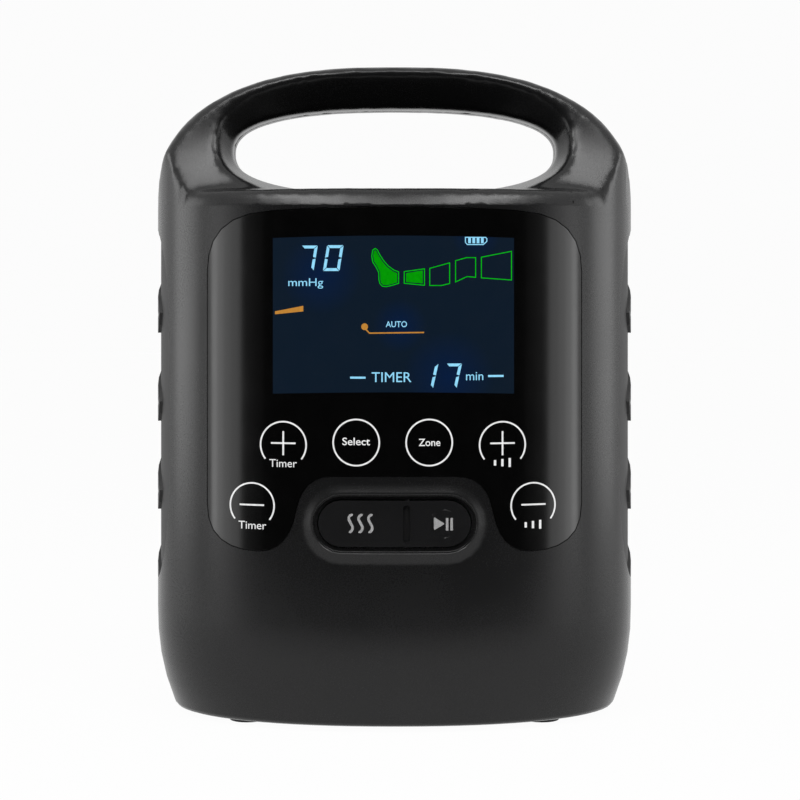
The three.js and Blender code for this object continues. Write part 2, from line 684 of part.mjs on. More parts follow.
const keyPrism = prismY(new THREE.Shape(keyOutline(0)), frontY, 0);
const slotShape = new THREE.Shape();
const slotStraight = KEY_SLOT_HALF_HEIGHT - KEY_SLOT_HALF_WIDTH;
slotShape.absarc(KEY_DIVIDER_X, KEY_Z + slotStraight, KEY_SLOT_HALF_WIDTH, 0, Math.PI);
slotShape.absarc(KEY_DIVIDER_X, KEY_Z - slotStraight, KEY_SLOT_HALF_WIDTH, Math.PI, 2 * Math.PI);
const slotCut = prismY(slotShape, frontY, -FRONT_DEPTH - KEY_RISE + KEY_SLOT_DEPTH);
const keyBarrel = rodZ(
  KEY_DIVIDER_X, hingeY, KEY_Z - BARREL_HALF_HEIGHT, KEY_Z + BARREL_HALF_HEIGHT,
  BARREL_RADIUS, FINE_ROD_STEPS,
);
const keyPosts = [KEY_DIVIDER_X - POST_REACH, KEY_DIVIDER_X + POST_REACH].map((x) => rodY(
  x, frontFaceY(x) + KEY_THICK / 2, SWITCH_TIP_Y - POST_TRAVEL, KEY_Z, POST_RADIUS, FINE_ROD_STEPS,
));
const dishY = frontFaceY(KEY_DISH_X) - KEY_RISE;
const dishGeometry = new THREE.CylinderGeometry(
  KEY_DISH_RADIUS * KEY_DISH_FLOOR_SHARE, KEY_DISH_RADIUS, KEY_DISH_DEPTH * 2, ROD_STEPS,
);
dishGeometry.translate(KEY_DISH_X, dishY, KEY_Z);
const rockerKey = keyPrism
  .intersect(planPrism(-KEY_RISE, -KEY_RISE))
  .subtract(planPrism(KEY_THICK, KEY_THICK))
  .subtract(slotCut)
  .subtract(solid(dishGeometry))
  .add(keyBarrel)
  .add(union(keyPosts))
  .subtract(pinBore);

// Side grips: soft pads sunk in the flanks over the joint of the shells, with S-shaped ribs.

function gripOutline(inset) {
  const outline = superellipse(
    PAD_HALF_DEPTH - inset, PAD_HALF_HEIGHT - inset, PAD_POWER, 0, 2 * Math.PI, PAD_STEPS,
  );
  return outline.map((point) => new THREE.Vector2(point.x + PAD_Y, point.y + PAD_Z));
}

function cabinetInset(inset) {
  return cabinetBlock(inset, inset, BASE_Z + inset, LEDGE_Z - inset, EDGE_ROUND);
}

function ribShape(z) {
  const left = [];
  const right = [];
  for (let step = 0; step <= RIB_STEPS; step += 1) {
    const share = (2 * step) / RIB_STEPS - 1;
    const swing = Math.PI * RIB_SWING_SHARE;
    const y = PAD_Y + RIB_SWAY * Math.sin(swing * share);
    const slope = new THREE.Vector2(
      RIB_SWAY * swing * Math.cos(swing * share), RIB_HALF_HEIGHT,
    ).normalize();
    const centre = new THREE.Vector2(y, z + RIB_HALF_HEIGHT * share);
    const side = new THREE.Vector2(slope.y, -slope.x).multiplyScalar(RIB_HALF_WIDTH);
    const tip = slope.clone().multiplyScalar(RIB_HALF_WIDTH);
    if (step === 0) {
      left.push(centre.clone().sub(tip));
    }
    right.push(centre.clone().add(side));
    left.push(centre.clone().sub(side));
    if (step === RIB_STEPS) {
      right.push(centre.clone().add(tip));
    }
  }
  return new THREE.Shape([...right, ...left.reverse()]);
}

const padSkin = cabinetInset(RIB_RISE).subtract(cabinetInset(PAD_THICK));
const ribSkin = outerCabinet.subtract(cabinetInset(RIB_RISE + RIB_ROOT));
const padSeat = cabinetInset(PAD_THICK + FIT_GAP);
const padRibs = union(Array.from({ length: RIB_ROWS }, (_, row) => {
  const z = PAD_Z + RIB_TOP_OFFSET - row * RIB_PITCH;
  return prismX(ribShape(z), 0, BODY_HALF_WIDTH + OVERSHOOT);
}));
const padPrism = prismX(new THREE.Shape(gripOutline(FIT_GAP)), 0, BODY_HALF_WIDTH + OVERSHOOT);
const padRoom = prismX(new THREE.Shape(gripOutline(0)), 0, BODY_HALF_WIDTH + OVERSHOOT);
const rightPad = padSkin.intersect(padPrism).add(ribSkin.intersect(padRibs).intersect(padPrism));
const leftPad = rightPad.mirror([1, 0, 0]);
const rightPadRoom = padRoom.subtract(padSeat);
const padRooms = rightPadRoom.add(rightPadRoom.mirror([1, 0, 0]));
frontShell = frontShell.subtract(padRooms);
rearShell = rearShell.subtract(padRooms);

// Posts, screws and feet

const outerWhole = outerCabinet.add(outerHandle);
const postAt = (x, z, y0, y1) => rodY(x, y0, y1, z, POST_WIDTH_RADIUS).intersect(outerWhole);
const shellScrewPlaces = [
  [SHELL_SCREWS.lowX, SHELL_SCREWS.lowZ],
  [BODY_HALF_WIDTH - SHELL_SCREWS.middleRoom, SHELL_SCREWS.middleZ],
  [BODY_HALF_WIDTH - SHELL_SCREWS.highRoom, SHELL_SCREWS.highZ],
].flatMap(([x, z]) => [[-x, z], [x, z]]);
const shellScrews = shellScrewPlaces.map(([x, z]) => {
  const front = postAt(x, z, frontFaceY(x) + WALL / 2, SPLIT_Y - FIT_GAP / 2);
  const rear = postAt(x, z, SPLIT_Y + FIT_GAP / 2, REAR_DEPTH);
  const clear = SCREW_SHANK_RADIUS + SCREW_CLEARANCE;
  const bore = rodY(x, SCREW_END_Y - FIT_GAP, SCREW_SEAT_Y + FIT_GAP, z, clear, FINE_ROD_STEPS);
  const well = rodY(
    x, SCREW_SEAT_Y, REAR_DEPTH + OVERSHOOT, z, SCREW_HEAD_RADIUS + SCREW_CLEARANCE, FINE_ROD_STEPS,
  );
  frontShell = frontShell.add(front).subtract(bore);
  rearShell = rearShell.add(rear).subtract(bore).subtract(well);
  const headY = SCREW_SEAT_Y + FIT_GAP;
  return rodY(x, SCREW_END_Y, headY + FIT_GAP, z, SCREW_SHANK_RADIUS, FINE_ROD_STEPS)
    .add(rodY(x, headY, headY + SCREW_HEAD_THICK, z, SCREW_HEAD_RADIUS, FINE_ROD_STEPS));
});

const footPlaces = [
  ['foot_front_left', -FOOT_X, FOOT_FRONT_Y],
  ['foot_front_right', FOOT_X, FOOT_FRONT_Y],
  ['foot_rear_left', -FOOT_X, FOOT_REAR_Y],
  ['foot_rear_right', FOOT_X, FOOT_REAR_Y],
];
for (const [name, x, y] of footPlaces) {
  const room = rodZ(x, y, -OVERSHOOT, FOOT_HEIGHT + FIT_GAP, FOOT_RADIUS + FIT_GAP);
  frontShell = frontShell.subtract(room);
  rearShell = rearShell.subtract(room);
  place(name, rodZ(x, y, 0, FOOT_HEIGHT, FOOT_RADIUS), '#1c1c1c', 0.8, 0);
}

// Screen, control board, switches, sensor and buzzer

const screen = box(
  -SCREEN_HALF_WIDTH, SCREEN_HALF_WIDTH, SCREEN.front, SCREEN.rear, SCREEN.low, SCREEN_HIGH_Z,
);
let board = box(
  -BOARD_HALF_WIDTH, BOARD_HALF_WIDTH, BOARD.front, BOARD.rear, BOARD.low, BOARD_HIGH_Z,
);
const boardScrewX = BOARD_HALF_WIDTH - BOARD_SCREW_INSET.side;
const boardScrewRows = [BOARD.low + BOARD_SCREW_INSET.low, BOARD_HIGH_Z - BOARD_SCREW_INSET.high];
const boardScrewPlaces = boardScrewRows.flatMap((z) => [[-boardScrewX, z], [boardScrewX, z]]);
const boardScrews = boardScrewPlaces.map(([x, z]) => {
  const postFront = frontFaceY(x) + BOARD_POST_SINK;
  const post = rodY(x, postFront, BOARD.front - FIT_GAP, z, BOARD_POST_RADIUS, FINE_ROD_STEPS);
  const clear = BOARD_SCREW_RADIUS + SCREW_CLEARANCE;
  const bore = rodY(x, BOARD_SCREW_END - FIT_GAP, BOARD.rear + FIT_GAP, z, clear, FINE_ROD_STEPS);
  frontShell = frontShell.add(post).subtract(bore);
  board = board.subtract(bore);
  const headY = BOARD.rear + FIT_GAP;
  const headEnd = headY + BOARD_SCREW_HEAD_THICK;
  return rodY(x, BOARD_SCREW_END, headY + FIT_GAP, z, BOARD_SCREW_RADIUS, FINE_ROD_STEPS)
    .add(rodY(x, headY, headEnd, z, BOARD_SCREW_HEAD_RADIUS, FINE_ROD_STEPS));
});
const switchY = BOARD.front - FIT_GAP;
const keySwitches = [KEY_DIVIDER_X - POST_REACH, KEY_DIVIDER_X + POST_REACH].map((x) => {
  const body = box(
    x - SWITCH_HALF, x + SWITCH_HALF, switchY - SWITCH_BODY_THICK, switchY,
    KEY_Z - SWITCH_HALF, KEY_Z + SWITCH_HALF,
  );
  const tipEnd = switchY - SWITCH_BODY_THICK / 2;
  const tip = rodY(x, SWITCH_TIP_Y, tipEnd, KEY_Z, SWITCH_TIP_RADIUS, FINE_ROD_STEPS);
  return body.add(tip);
});
const backY = BOARD.rear + FIT_GAP;
const sensorX = SENSOR.sideRoom - BODY_HALF_WIDTH;
const sensorBack = backY + SENSOR.thick;
const sensor = box(sensorX, sensorX + SENSOR.wide, backY, sensorBack, ...SENSOR.z).add(rodY(
  sensorX + SENSOR.wide / 2, backY + SENSOR.thick / 2, sensorBack + SENSOR.nipple,
  (SENSOR.z[0] + SENSOR.z[1]) / 2, SENSOR.nippleRadius, FINE_ROD_STEPS,
));
const buzzer = rodY(BODY_HALF_WIDTH - BUZZER.sideRoom, backY, backY + BUZZER.thick, BUZZER.z, BUZZER.radius);

// Battery and tray

const packShape = new THREE.Shape();
const packMiddle = (BATTERY.low + BATTERY.high) / 2;
const packHalf = (BATTERY.high - BATTERY.low) / 2;
const packCorners = [[1, -1, -1], [1, 1, 0], [-1, 1, 1], [-1, -1, 2]];
for (const [sideX, sideZ, quarter] of packCorners) {
  packShape.absarc(
    sideX * (BATTERY.halfWidth - BATTERY.round), packMiddle + sideZ * (packHalf - BATTERY.round),
    BATTERY.round, (quarter * Math.PI) / 2, ((quarter + 1) * Math.PI) / 2,
  );
}
const battery = prismY(packShape, BATTERY.front, BATTERY.rear);
const trayBack = BOARD.rear + TRAY.gap;
const trayLow = BATTERY.low - FIT_GAP;
const trayHigh = BATTERY.high + FIT_GAP;
const trayLips = [[trayLow - TRAY.thick, trayLow], [trayHigh, trayHigh + TRAY.thick]].map(
  ([low, high]) => box(-TRAY.halfWidth, TRAY.halfWidth, trayBack, trayBack + TRAY.lip, low, high),
);
const tray = box(
  -TRAY.halfWidth, TRAY.halfWidth, trayBack, trayBack + TRAY.thick,
  trayLow - TRAY.thick, trayHigh + TRAY.thick,
).add(union(trayLips));

// Air pump

const noseX = MOTOR.from - MOTOR.nose;
const motor = rodX(MOTOR.from, MOTOR.to, PUMP_Y, PUMP_Z, MOTOR.radius)
  .add(rodX(noseX, MOTOR.from + FIT_GAP, PUMP_Y, PUMP_Z, MOTOR.noseRadius))
  .subtract(rodX(noseX - OVERSHOOT, noseX + MOTOR.bore, PUMP_Y, PUMP_Z, MOTOR.boreRadius, FINE_ROD_STEPS));
const crankcase = box(
  CASE.from, CASE.to, PUMP_Y - CASE.halfDepth, PUMP_Y + CASE.halfDepth, CASE.low, CASE.high,
)
  .subtract(rodX(CASE.from - OVERSHOOT, CASE.to - CASE.wall, PUMP_Y, PUMP_Z, CASE.hollow))
  .subtract(rodX(CASE.from, CASE.to + OVERSHOOT, PUMP_Y, PUMP_Z, MOTOR.boreRadius, FINE_ROD_STEPS));
const coverX = CASE.from - FIT_GAP;
const caseCover = box(
  coverX - CASE_COVER_THICK, coverX, PUMP_Y - CASE.halfDepth, PUMP_Y + CASE.halfDepth,
  CASE.low, CASE.high,
);
const shaft = rodX(SHAFT.from, SHAFT.to, PUMP_Y, PUMP_Z, SHAFT.radius, FINE_ROD_STEPS)
  .add(rodX(SHAFT.disc[0], SHAFT.disc[1], PUMP_Y, PUMP_Z + SHAFT.throw, SHAFT.discRadius));
const headFoot = CASE.high + FIT_GAP;
const nippleTop = HEAD.high + HEAD.nipple;
const pumpHead = box(
  HEAD.from, HEAD.to, PUMP_Y - HEAD.halfDepth, PUMP_Y + HEAD.halfDepth, headFoot, HEAD.high,
)
  .add(rodZ(HEAD.nippleX, PUMP_Y, headFoot + FIT_GAP, nippleTop, HEAD_NIPPLE_RADIUS, FINE_ROD_STEPS))
  .subtract(rodZ(HEAD.nippleX, PUMP_Y, HEAD.high, nippleTop + OVERSHOOT, NIPPLE_BORE, FINE_ROD_STEPS));
const floorZ = BASE_Z + WALL + FIT_GAP;
const caseMount = box(
  ...CASE_MOUNT.x, PUMP_Y - CASE_MOUNT.halfDepth, PUMP_Y + CASE_MOUNT.halfDepth,
  floorZ, CASE.low - FIT_GAP,
);
const motorMount = box(
  ...MOTOR_MOUNT.x, PUMP_Y - MOTOR_MOUNT.halfDepth, PUMP_Y + MOTOR_MOUNT.halfDepth,
  floorZ, MOTOR_MOUNT.high,
).subtract(rodX(MOTOR.from, MOTOR.to, PUMP_Y, PUMP_Z, MOTOR.radius + FIT_GAP));

// Valve block, valves and plungers

const blockZ = (BLOCK.low + BLOCK.high) / 2;
let valveBlock = box(
  -BLOCK.halfWidth, BLOCK.halfWidth, BLOCK.front, BLOCK.rear, BLOCK.low, BLOCK.high,
).subtract(rodX(
  -BLOCK.halfWidth - OVERSHOOT, BLOCK.halfWidth - VALVE.wall, (BLOCK.front + BLOCK.rear) / 2, blockZ,
  BLOCK.bore, FINE_ROD_STEPS,
));
const valves = [];
const plungers = [];
for (let index = 0; index < VALVE_COUNT; index += 1) {
  const x = VALVE.pitch * (index - (VALVE_COUNT - 1) / 2);
  const rear = BLOCK.front - FIT_GAP;
  const front = rear - VALVE.long;
  const bore = rodY(x, front + VALVE.wall, rear + OVERSHOOT, blockZ, VALVE.bore);
  const start = front + VALVE.wall + PLUNGER.back;
  valves.push(
    box(x - VALVE.halfWidth, x + VALVE.halfWidth, front, rear, VALVE.low, VALVE.high).subtract(bore),
  );
  plungers.push(rodY(x, start, start + PLUNGER.long, blockZ, PLUNGER.radius));
  valveBlock = valveBlock.subtract(
    rodY(x, BLOCK.front - OVERSHOOT, (BLOCK.front + BLOCK.rear) / 2, blockZ, NIPPLE_BORE, FINE_ROD_STEPS),
  );
}
for (const side of [-1, 1]) {
  rearShell = rearShell.add(
    rodY(
      side * BLOCK_POST.x, BLOCK.rear + FIT_GAP, REAR_DEPTH - WALL / 2, blockZ, BLOCK_POST.radius,
      FINE_ROD_STEPS,
    )
      .intersect(outerWhole),
  );
}

// Hose sockets

function socketAt(side) {
  const x = side * SOCKET_X;
  const low = SOCKET_Z - SOCKET.halfHeight;
  const high = SOCKET_Z + SOCKET.halfHeight;
  let body = box(x - SOCKET.halfWidth, x + SOCKET.halfWidth, SOCKET.front, SOCKET.rear, low, high);
  body = body.subtract(box(
    x - SOCKET.halfWidth + SOCKET.lip, x + SOCKET.halfWidth - SOCKET.lip,
    SOCKET.front + SOCKET.floor, SOCKET.rear + OVERSHOOT, low + SOCKET.lip, high - SOCKET.lip,
  ));
  for (let index = 0; index < SOCKET_BORES.count; index += 1) {
    const boreX = x + SOCKET_BORES.pitch * (index - (SOCKET_BORES.count - 1) / 2);
    body = body.subtract(rodY(
      boreX, SOCKET.front - OVERSHOOT, SOCKET.rear, SOCKET_Z, SOCKET_BORES.radius, FINE_ROD_STEPS,
    ));
  }
  rearShell = rearShell.subtract(box(
    x - SOCKET.halfWidth - FIT_GAP, x + SOCKET.halfWidth + FIT_GAP,
    SOCKET.front, REAR_DEPTH + OVERSHOOT, low - FIT_GAP, high + FIT_GAP,
  ));
  return body;
}
const leftSocket = socketAt(-1);
const rightSocket = socketAt(1);

function tube(path) {
  const circle = (radius) => superellipse(radius, radius, 2, 0, 2 * Math.PI, TUBE_SIDES);
  const shape = new THREE.Shape(circle(TUBE_RADIUS));
  shape.holes.push(new THREE.Path(circle(TUBE_BORE)));
  const extrudePath = new THREE.CatmullRomCurve3(path.map((point) => new THREE.Vector3(...point)));
  return solid(new THREE.ExtrudeGeometry(shape, { steps: TUBE_STEPS, extrudePath }));
}
const rightTube = tube(OUTLET_PATH);
const leftTube = rightTube.mirror([1, 0, 0]);
const feedTube = tube(FEED_PATH);

// Fan and vents

const hubFront = FAN.rear - FAN.base;
let fanFrame = box(-FAN.half, FAN.half, FAN.front, FAN.rear, FAN_Z - FAN.half, FAN_Z + FAN.half)
  .subtract(rodY(0, FAN.front - OVERSHOOT, FAN.rear + OVERSHOOT, FAN_Z, FAN.hole))
  .add(rodY(0, hubFront, FAN.rear, FAN_Z, FAN.hub));
for (const [reachX, reachZ] of [[FAN.half, FAN.strut / 2], [FAN.strut / 2, FAN.half]]) {
  fanFrame = fanFrame.add(
    box(-reachX, reachX, hubFront, FAN.rear, FAN_Z - reachZ, FAN_Z + reachZ),
  );
}
fanFrame = fanFrame.subtract(
  rodY(0, FAN.front, FAN.rear - FIT_GAP, FAN_Z, FAN_BLADE.shaft + FIT_GAP, FINE_ROD_STEPS),
);
const rotorEnd = hubFront - FAN_BLADE.gap;
let fanRotor = rodY(0, FAN.front + FAN_BLADE.gap, rotorEnd, FAN_Z, FAN.hub)
  .add(rodY(0, rotorEnd - FAN_BLADE.gap, FAN.rear - FAN_BLADE.gap, FAN_Z, FAN_BLADE.shaft, FINE_ROD_STEPS));
for (let index = 0; index < FAN_BLADE.count; index += 1) {
  const middleY = (FAN.front + FAN_BLADE.gap + rotorEnd) / 2;
  const halfBlade = (rotorEnd - FAN.front - FAN_BLADE.gap) / 2 - FAN_BLADE.front;
  const blade = new THREE.BoxGeometry(FAN_BLADE.reach - FAN_BLADE.root, 2 * halfBlade, FAN_BLADE.thick);
  blade.rotateX(Math.PI / BLADE_TWIST_SHARE);
  blade.translate((FAN_BLADE.reach + FAN_BLADE.root) / 2, 0, 0);
  blade.rotateY((2 * Math.PI * index) / FAN_BLADE.count);
  blade.translate(0, middleY, FAN_Z);
  fanRotor = fanRotor.add(solid(blade));
}
const fanHold = FAN.half + FIT_GAP;
rearShell = rearShell.subtract(
  box(-fanHold, fanHold, FAN.front, FAN.rear + FIT_GAP, FAN_Z - fanHold, FAN_Z + fanHold),
);
for (let index = 0; index < VENT.count; index += 1) {
  const z = FAN_Z + VENT.pitch * (index - (VENT.count - 1) / 2);
  rearShell = rearShell.subtract(box(
    -VENT.halfWidth, VENT.halfWidth, FAN.rear + FIT_GAP / 2, REAR_DEPTH + OVERSHOOT,
    z - VENT.half, z + VENT.half,
  ));
}

// Adaptor inlet, power switch and supply board

const jackX = BODY_HALF_WIDTH - JACK.sideRoom;
const powerX = POWER.sideRoom - BODY_HALF_WIDTH;
const jack = box(
  jackX - JACK.half, jackX + JACK.half, JACK.front, JACK.body,
  JACK.z - JACK.half, JACK.z + JACK.half,
)
  .add(rodY(jackX, JACK.body - FIT_GAP, JACK.nose, JACK.z, JACK.noseRadius))
  .subtract(rodY(jackX, JACK_BORE.floor, JACK.nose + OVERSHOOT, JACK.z, JACK_BORE.radius))
  .add(rodY(
    jackX, JACK_BORE.floor - FIT_GAP, JACK_BORE.pinEnd, JACK.z, JACK_BORE.pin, FINE_ROD_STEPS,
  ));
rearShell = rearShell.subtract(
  rodY(jackX, JACK.body, REAR_DEPTH + OVERSHOOT, JACK.z, JACK.noseRadius + FIT_GAP),
);
const jackHold = JACK.half + FIT_GAP;
rearShell = rearShell.subtract(box(
  jackX - jackHold, jackX + jackHold, JACK.front, JACK.body + FIT_GAP,
  JACK.z - jackHold, JACK.z + jackHold,
));
const pinLow = POWER.z - POWER_WELL.halfHeight - ROCKER_PIN.sunk;
const pinHigh = POWER.z + POWER_WELL.halfHeight + ROCKER_PIN.sunk;
const powerBody = box(
  powerX - POWER.halfWidth, powerX + POWER.halfWidth, POWER.front, POWER.rear,
  POWER.z - POWER.halfHeight, POWER.z + POWER.halfHeight,
)
  .subtract(box(
    powerX - POWER_WELL.halfWidth, powerX + POWER_WELL.halfWidth, POWER_WELL.floor,
    POWER.rear + OVERSHOOT, POWER.z - POWER_WELL.halfHeight, POWER.z + POWER_WELL.halfHeight,
  ))
  .subtract(rodZ(
    powerX, ROCKER.axisY, pinLow - ROCKER_PIN.gap, pinHigh + ROCKER_PIN.gap,
    ROCKER_PIN.radius + ROCKER_PIN.gap, FINE_ROD_STEPS,
  ));
const rockerShape = new THREE.Shape([
  new THREE.Vector2(powerX - ROCKER.half, ROCKER.axisY - ROCKER.low),
  new THREE.Vector2(powerX + ROCKER.half, ROCKER.axisY - ROCKER.low),
  new THREE.Vector2(powerX + ROCKER.half, ROCKER.axisY + ROCKER.far),
  new THREE.Vector2(powerX, ROCKER.axisY + ROCKER.mid),
  new THREE.Vector2(powerX - ROCKER.half, ROCKER.axisY + ROCKER.near),
]);
const rockerHalf = POWER_WELL.halfHeight - ROCKER.gap;
const powerRocker = prismZ(
  rockerShape, POWER.z - rockerHalf, POWER.z + rockerHalf,
).add(rodZ(powerX, ROCKER.axisY, pinLow, pinHigh, ROCKER_PIN.radius, FINE_ROD_STEPS));
rearShell = rearShell.subtract(box(
  powerX - POWER.halfWidth - FIT_GAP, powerX + POWER.halfWidth + FIT_GAP,
  POWER.front, REAR_DEPTH + OVERSHOOT,
  POWER.z - POWER.halfHeight - FIT_GAP, POWER.z + POWER.halfHeight + FIT_GAP,
));
const supplyFarX = BODY_HALF_WIDTH - SUPPLY.sideRoom;
const supply = box(
  SUPPLY.nearX, supplyFarX, ...SUPPLY.y, SUPPLY.low, SUPPLY.low + SUPPLY.thick,
);
for (const x of [SUPPLY.nearX + SUPPLY.inset, supplyFarX - SUPPLY.inset]) {
  for (const y of [SUPPLY.y[0] + SUPPLY.inset, SUPPLY.y[1] - SUPPLY.inset]) {
    rearShell = rearShell.add(
      rodZ(x, y, BASE_Z + WALL / 2, SUPPLY.low - FIT_GAP, SUPPLY.post, FINE_ROD_STEPS),
    );
  }
}

// The finished pieces

place('front_shell', frontShell, '#242424', 0.42, 0);
place('rear_shell', rearShell, '#242424', 0.42, 0);
place('front_lens', lens, '#050506', 0.08, 0);
place('rocker_key', rockerKey, '#1f1f1f', 0.38, 0);
place('key_pin', pin, '#b8b8b8', 0.3, 1);
place('left_grip', leftPad, '#2b2b2b', 0.7, 0);
place('right_grip', rightPad, '#2b2b2b', 0.7, 0);
shellScrews.forEach((body, index) => place(`shell_screw_${index + 1}`, body, '#9a9a9a', 0.35, 1));
place('display_module', screen, '#0b1826', 0.2, 0);
place('control_board', board, '#0e4a2a', 0.5, 0);
boardScrews.forEach((body, index) => place(`board_screw_${index + 1}`, body, '#b8b8b8', 0.35, 1));
place('key_switch_left', keySwitches[0], '#303030', 0.5, 0);
place('key_switch_right', keySwitches[1], '#303030', 0.5, 0);
place('pressure_sensor', sensor, '#202020', 0.5, 0);
place('buzzer', buzzer, '#181818', 0.5, 0);
place('battery_pack', battery, '#2d4f8a', 0.5, 0);
place('battery_tray', tray, '#3a3a3a', 0.5, 0);
place('pump_motor', motor, '#a8a8a8', 0.35, 1);
place('pump_crankcase', crankcase, '#3c3c3c', 0.5, 0);
place('crankcase_cover', caseCover, '#3c3c3c', 0.5, 0);
place('pump_shaft', shaft, '#c0c0c0', 0.3, 1);
place('pump_head', pumpHead, '#484848', 0.5, 0);
place('crankcase_mount', caseMount, '#1c1c1c', 0.8, 0);
place('motor_mount', motorMount, '#1c1c1c', 0.8, 0);
place('valve_block', valveBlock, '#dcdcd6', 0.5, 0);
valves.forEach((body, index) => place(`valve_${index + 1}`, body, '#262a30', 0.45, 0));
plungers.forEach((body, index) => place(`valve_plunger_${index + 1}`, body, '#b0b0b0', 0.3, 1));
place('hose_socket_left', leftSocket, '#1a1a1a', 0.45, 0);
place('hose_socket_right', rightSocket, '#1a1a1a', 0.45, 0);
place('outlet_tube_left', leftTube, '#c8ccd0', 0.4, 0);
place('outlet_tube_right', rightTube, '#c8ccd0', 0.4, 0);
place('feed_tube', feedTube, '#c8ccd0', 0.4, 0);
place('fan_frame', fanFrame, '#161616', 0.5, 0);
place('fan_rotor', fanRotor, '#1e1e1e', 0.5, 0);
place('adaptor_inlet', jack, '#141414', 0.45, 0);
place('power_switch', powerBody, '#161616', 0.45, 0);
place('power_rocker', powerRocker, '#0c0c0c', 0.35, 0);
place('supply_board', supply, '#0e4a2a', 0.5, 0);

// The origin moves to the middle of the overall depth, which the collar's crest sets in front.
const crest = Math.max(...COLLAR_PROFILE.map((pair) => pair[1]));
pieces.position.y = (FRONT_DEPTH + crest - REAR_DEPTH) / 2;
pieces.updateMatrixWorld(true);

export default pieces;
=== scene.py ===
import json
import math

import bmesh
import bpy
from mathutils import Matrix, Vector
from mathutils.bvhtree import BVHTree

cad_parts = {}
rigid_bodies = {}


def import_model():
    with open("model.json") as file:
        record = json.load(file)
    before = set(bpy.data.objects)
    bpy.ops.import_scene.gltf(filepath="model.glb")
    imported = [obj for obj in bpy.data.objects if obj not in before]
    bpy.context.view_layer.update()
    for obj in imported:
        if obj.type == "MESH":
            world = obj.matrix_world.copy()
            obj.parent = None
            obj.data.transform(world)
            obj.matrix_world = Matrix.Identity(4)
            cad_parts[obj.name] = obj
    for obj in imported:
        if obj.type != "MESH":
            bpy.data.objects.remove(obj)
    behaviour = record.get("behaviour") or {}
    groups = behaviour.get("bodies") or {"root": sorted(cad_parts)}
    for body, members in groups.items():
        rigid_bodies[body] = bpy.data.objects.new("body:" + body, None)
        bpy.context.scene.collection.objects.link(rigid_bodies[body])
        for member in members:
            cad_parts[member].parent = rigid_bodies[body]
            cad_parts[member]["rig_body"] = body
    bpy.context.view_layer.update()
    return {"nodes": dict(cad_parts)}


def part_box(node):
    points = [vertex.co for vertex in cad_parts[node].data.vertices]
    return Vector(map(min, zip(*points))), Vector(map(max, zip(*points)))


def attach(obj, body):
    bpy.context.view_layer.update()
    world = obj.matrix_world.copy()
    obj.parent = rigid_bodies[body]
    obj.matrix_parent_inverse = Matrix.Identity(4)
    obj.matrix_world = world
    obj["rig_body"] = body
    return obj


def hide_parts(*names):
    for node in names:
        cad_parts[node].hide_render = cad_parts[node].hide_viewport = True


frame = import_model()
cad = frame["nodes"]
scene = bpy.context.scene

# Camera
# A long lens straight in front, level with the middle of the screen. The film is shifted,
# because the pump stands below that level in its picture.
FRAME_PX = 800
FOCAL_PX = 2174.0
SENSOR_MM = 36.0
camera_data = bpy.data.cameras.new("front_camera")
camera_data.sensor_width = SENSOR_MM
camera_data.lens = SENSOR_MM * FOCAL_PX / FRAME_PX
camera_data.shift_x = 0.0069
camera_data.shift_y = -0.125
camera_data.clip_start = 0.05
camera = bpy.data.objects.new("front_camera", camera_data)
scene.collection.objects.link(camera)
camera.location = (0.0, -0.8543, 0.1604)
camera.rotation_euler = (math.pi / 2, 0.0, 0.0)
scene.camera = camera
scene.view_settings.view_transform = "Standard"

# Studio
# White paper under and behind the pump, a dim room in front of it, a soft box high in front
# and at each side a tall one, a high one and a row of strips that fades towards the camera.
# The paper is white to the eye and in reflections.


class Wire:
    """One output of a shader node. Arithmetic on it adds Math nodes."""

    def __init__(self, tree, socket=None):
        self.tree = tree
        self.socket = socket

    def node(self, kind, settings=None, sockets=None, output=0):
        """Adds any other node: its settings first, then the values or links of its sockets."""
        made = self.tree.nodes.new(kind)
        for key, value in (settings or {}).items():
            if key == "stops":
                ramp = made.color_ramp.elements
                while len(ramp) < len(value):
                    ramp.new(1.0)
                for element, (place, colour) in zip(ramp, value):
                    element.position = place
                    element.color = (*colour, 1.0)
            else:
                setattr(made, key, value)
        for key, value in (sockets or {}).items():
            if isinstance(value, Wire):
                self.tree.links.new(value.socket, made.inputs[key])
            else:
                made.inputs[key].default_value = value
        return Wire(self.tree, made.outputs[output])

    def math(self, operation, *values):
        sockets = dict(enumerate((self, *values)))
        return self.node("ShaderNodeMath", {"operation": operation}, sockets)

    def __add__(self, other):
        return self.math("ADD", other)

    def __sub__(self, other):
        return self.math("SUBTRACT", other)

    def __rsub__(self, other):
        return self * -1.0 + other

    def __mul__(self, other):
        return self.math("MULTIPLY", other)

    __radd__ = __add__
    __rmul__ = __mul__

    def __lt__(self, other):
        return self.math("LESS_THAN", other)

    def __gt__(self, other):
        return self.math("GREATER_THAN", other)


def finish_of(name, **fixed):
    """A new material, its shader with the values that are the same all over, and a wire."""
    material = bpy.data.materials.new(name)
    material.use_nodes = True
    shader = material.node_tree.nodes["Principled BSDF"]
    for key, value in fixed.items():
        shader.inputs[key.replace("_", " ")].default_value = value
    return material, shader, Wire(material.node_tree)


def join(shader, **wires):
    """Links wires to the shader's sockets of the same names."""
    for key, wire in wires.items():
        wire.tree.links.new(wire.socket, shader.inputs[key.replace("_", " ")])


CAMERA_RAY, GLOSSY_RAY, TRANSMISSION_RAY = 0, 3, 6


def seen_plainly(wire):
    """1 to the eye and in reflections and glass, 0 to the light that falls on things."""
    seen = wire.node("ShaderNodeLightPath", output=CAMERA_RAY)
    seen = seen + wire.node("ShaderNodeLightPath", output=GLOSSY_RAY)
    seen = seen + wire.node("ShaderNodeLightPath", output=TRANSMISSION_RAY)
    return seen.math("MINIMUM", 1.0)


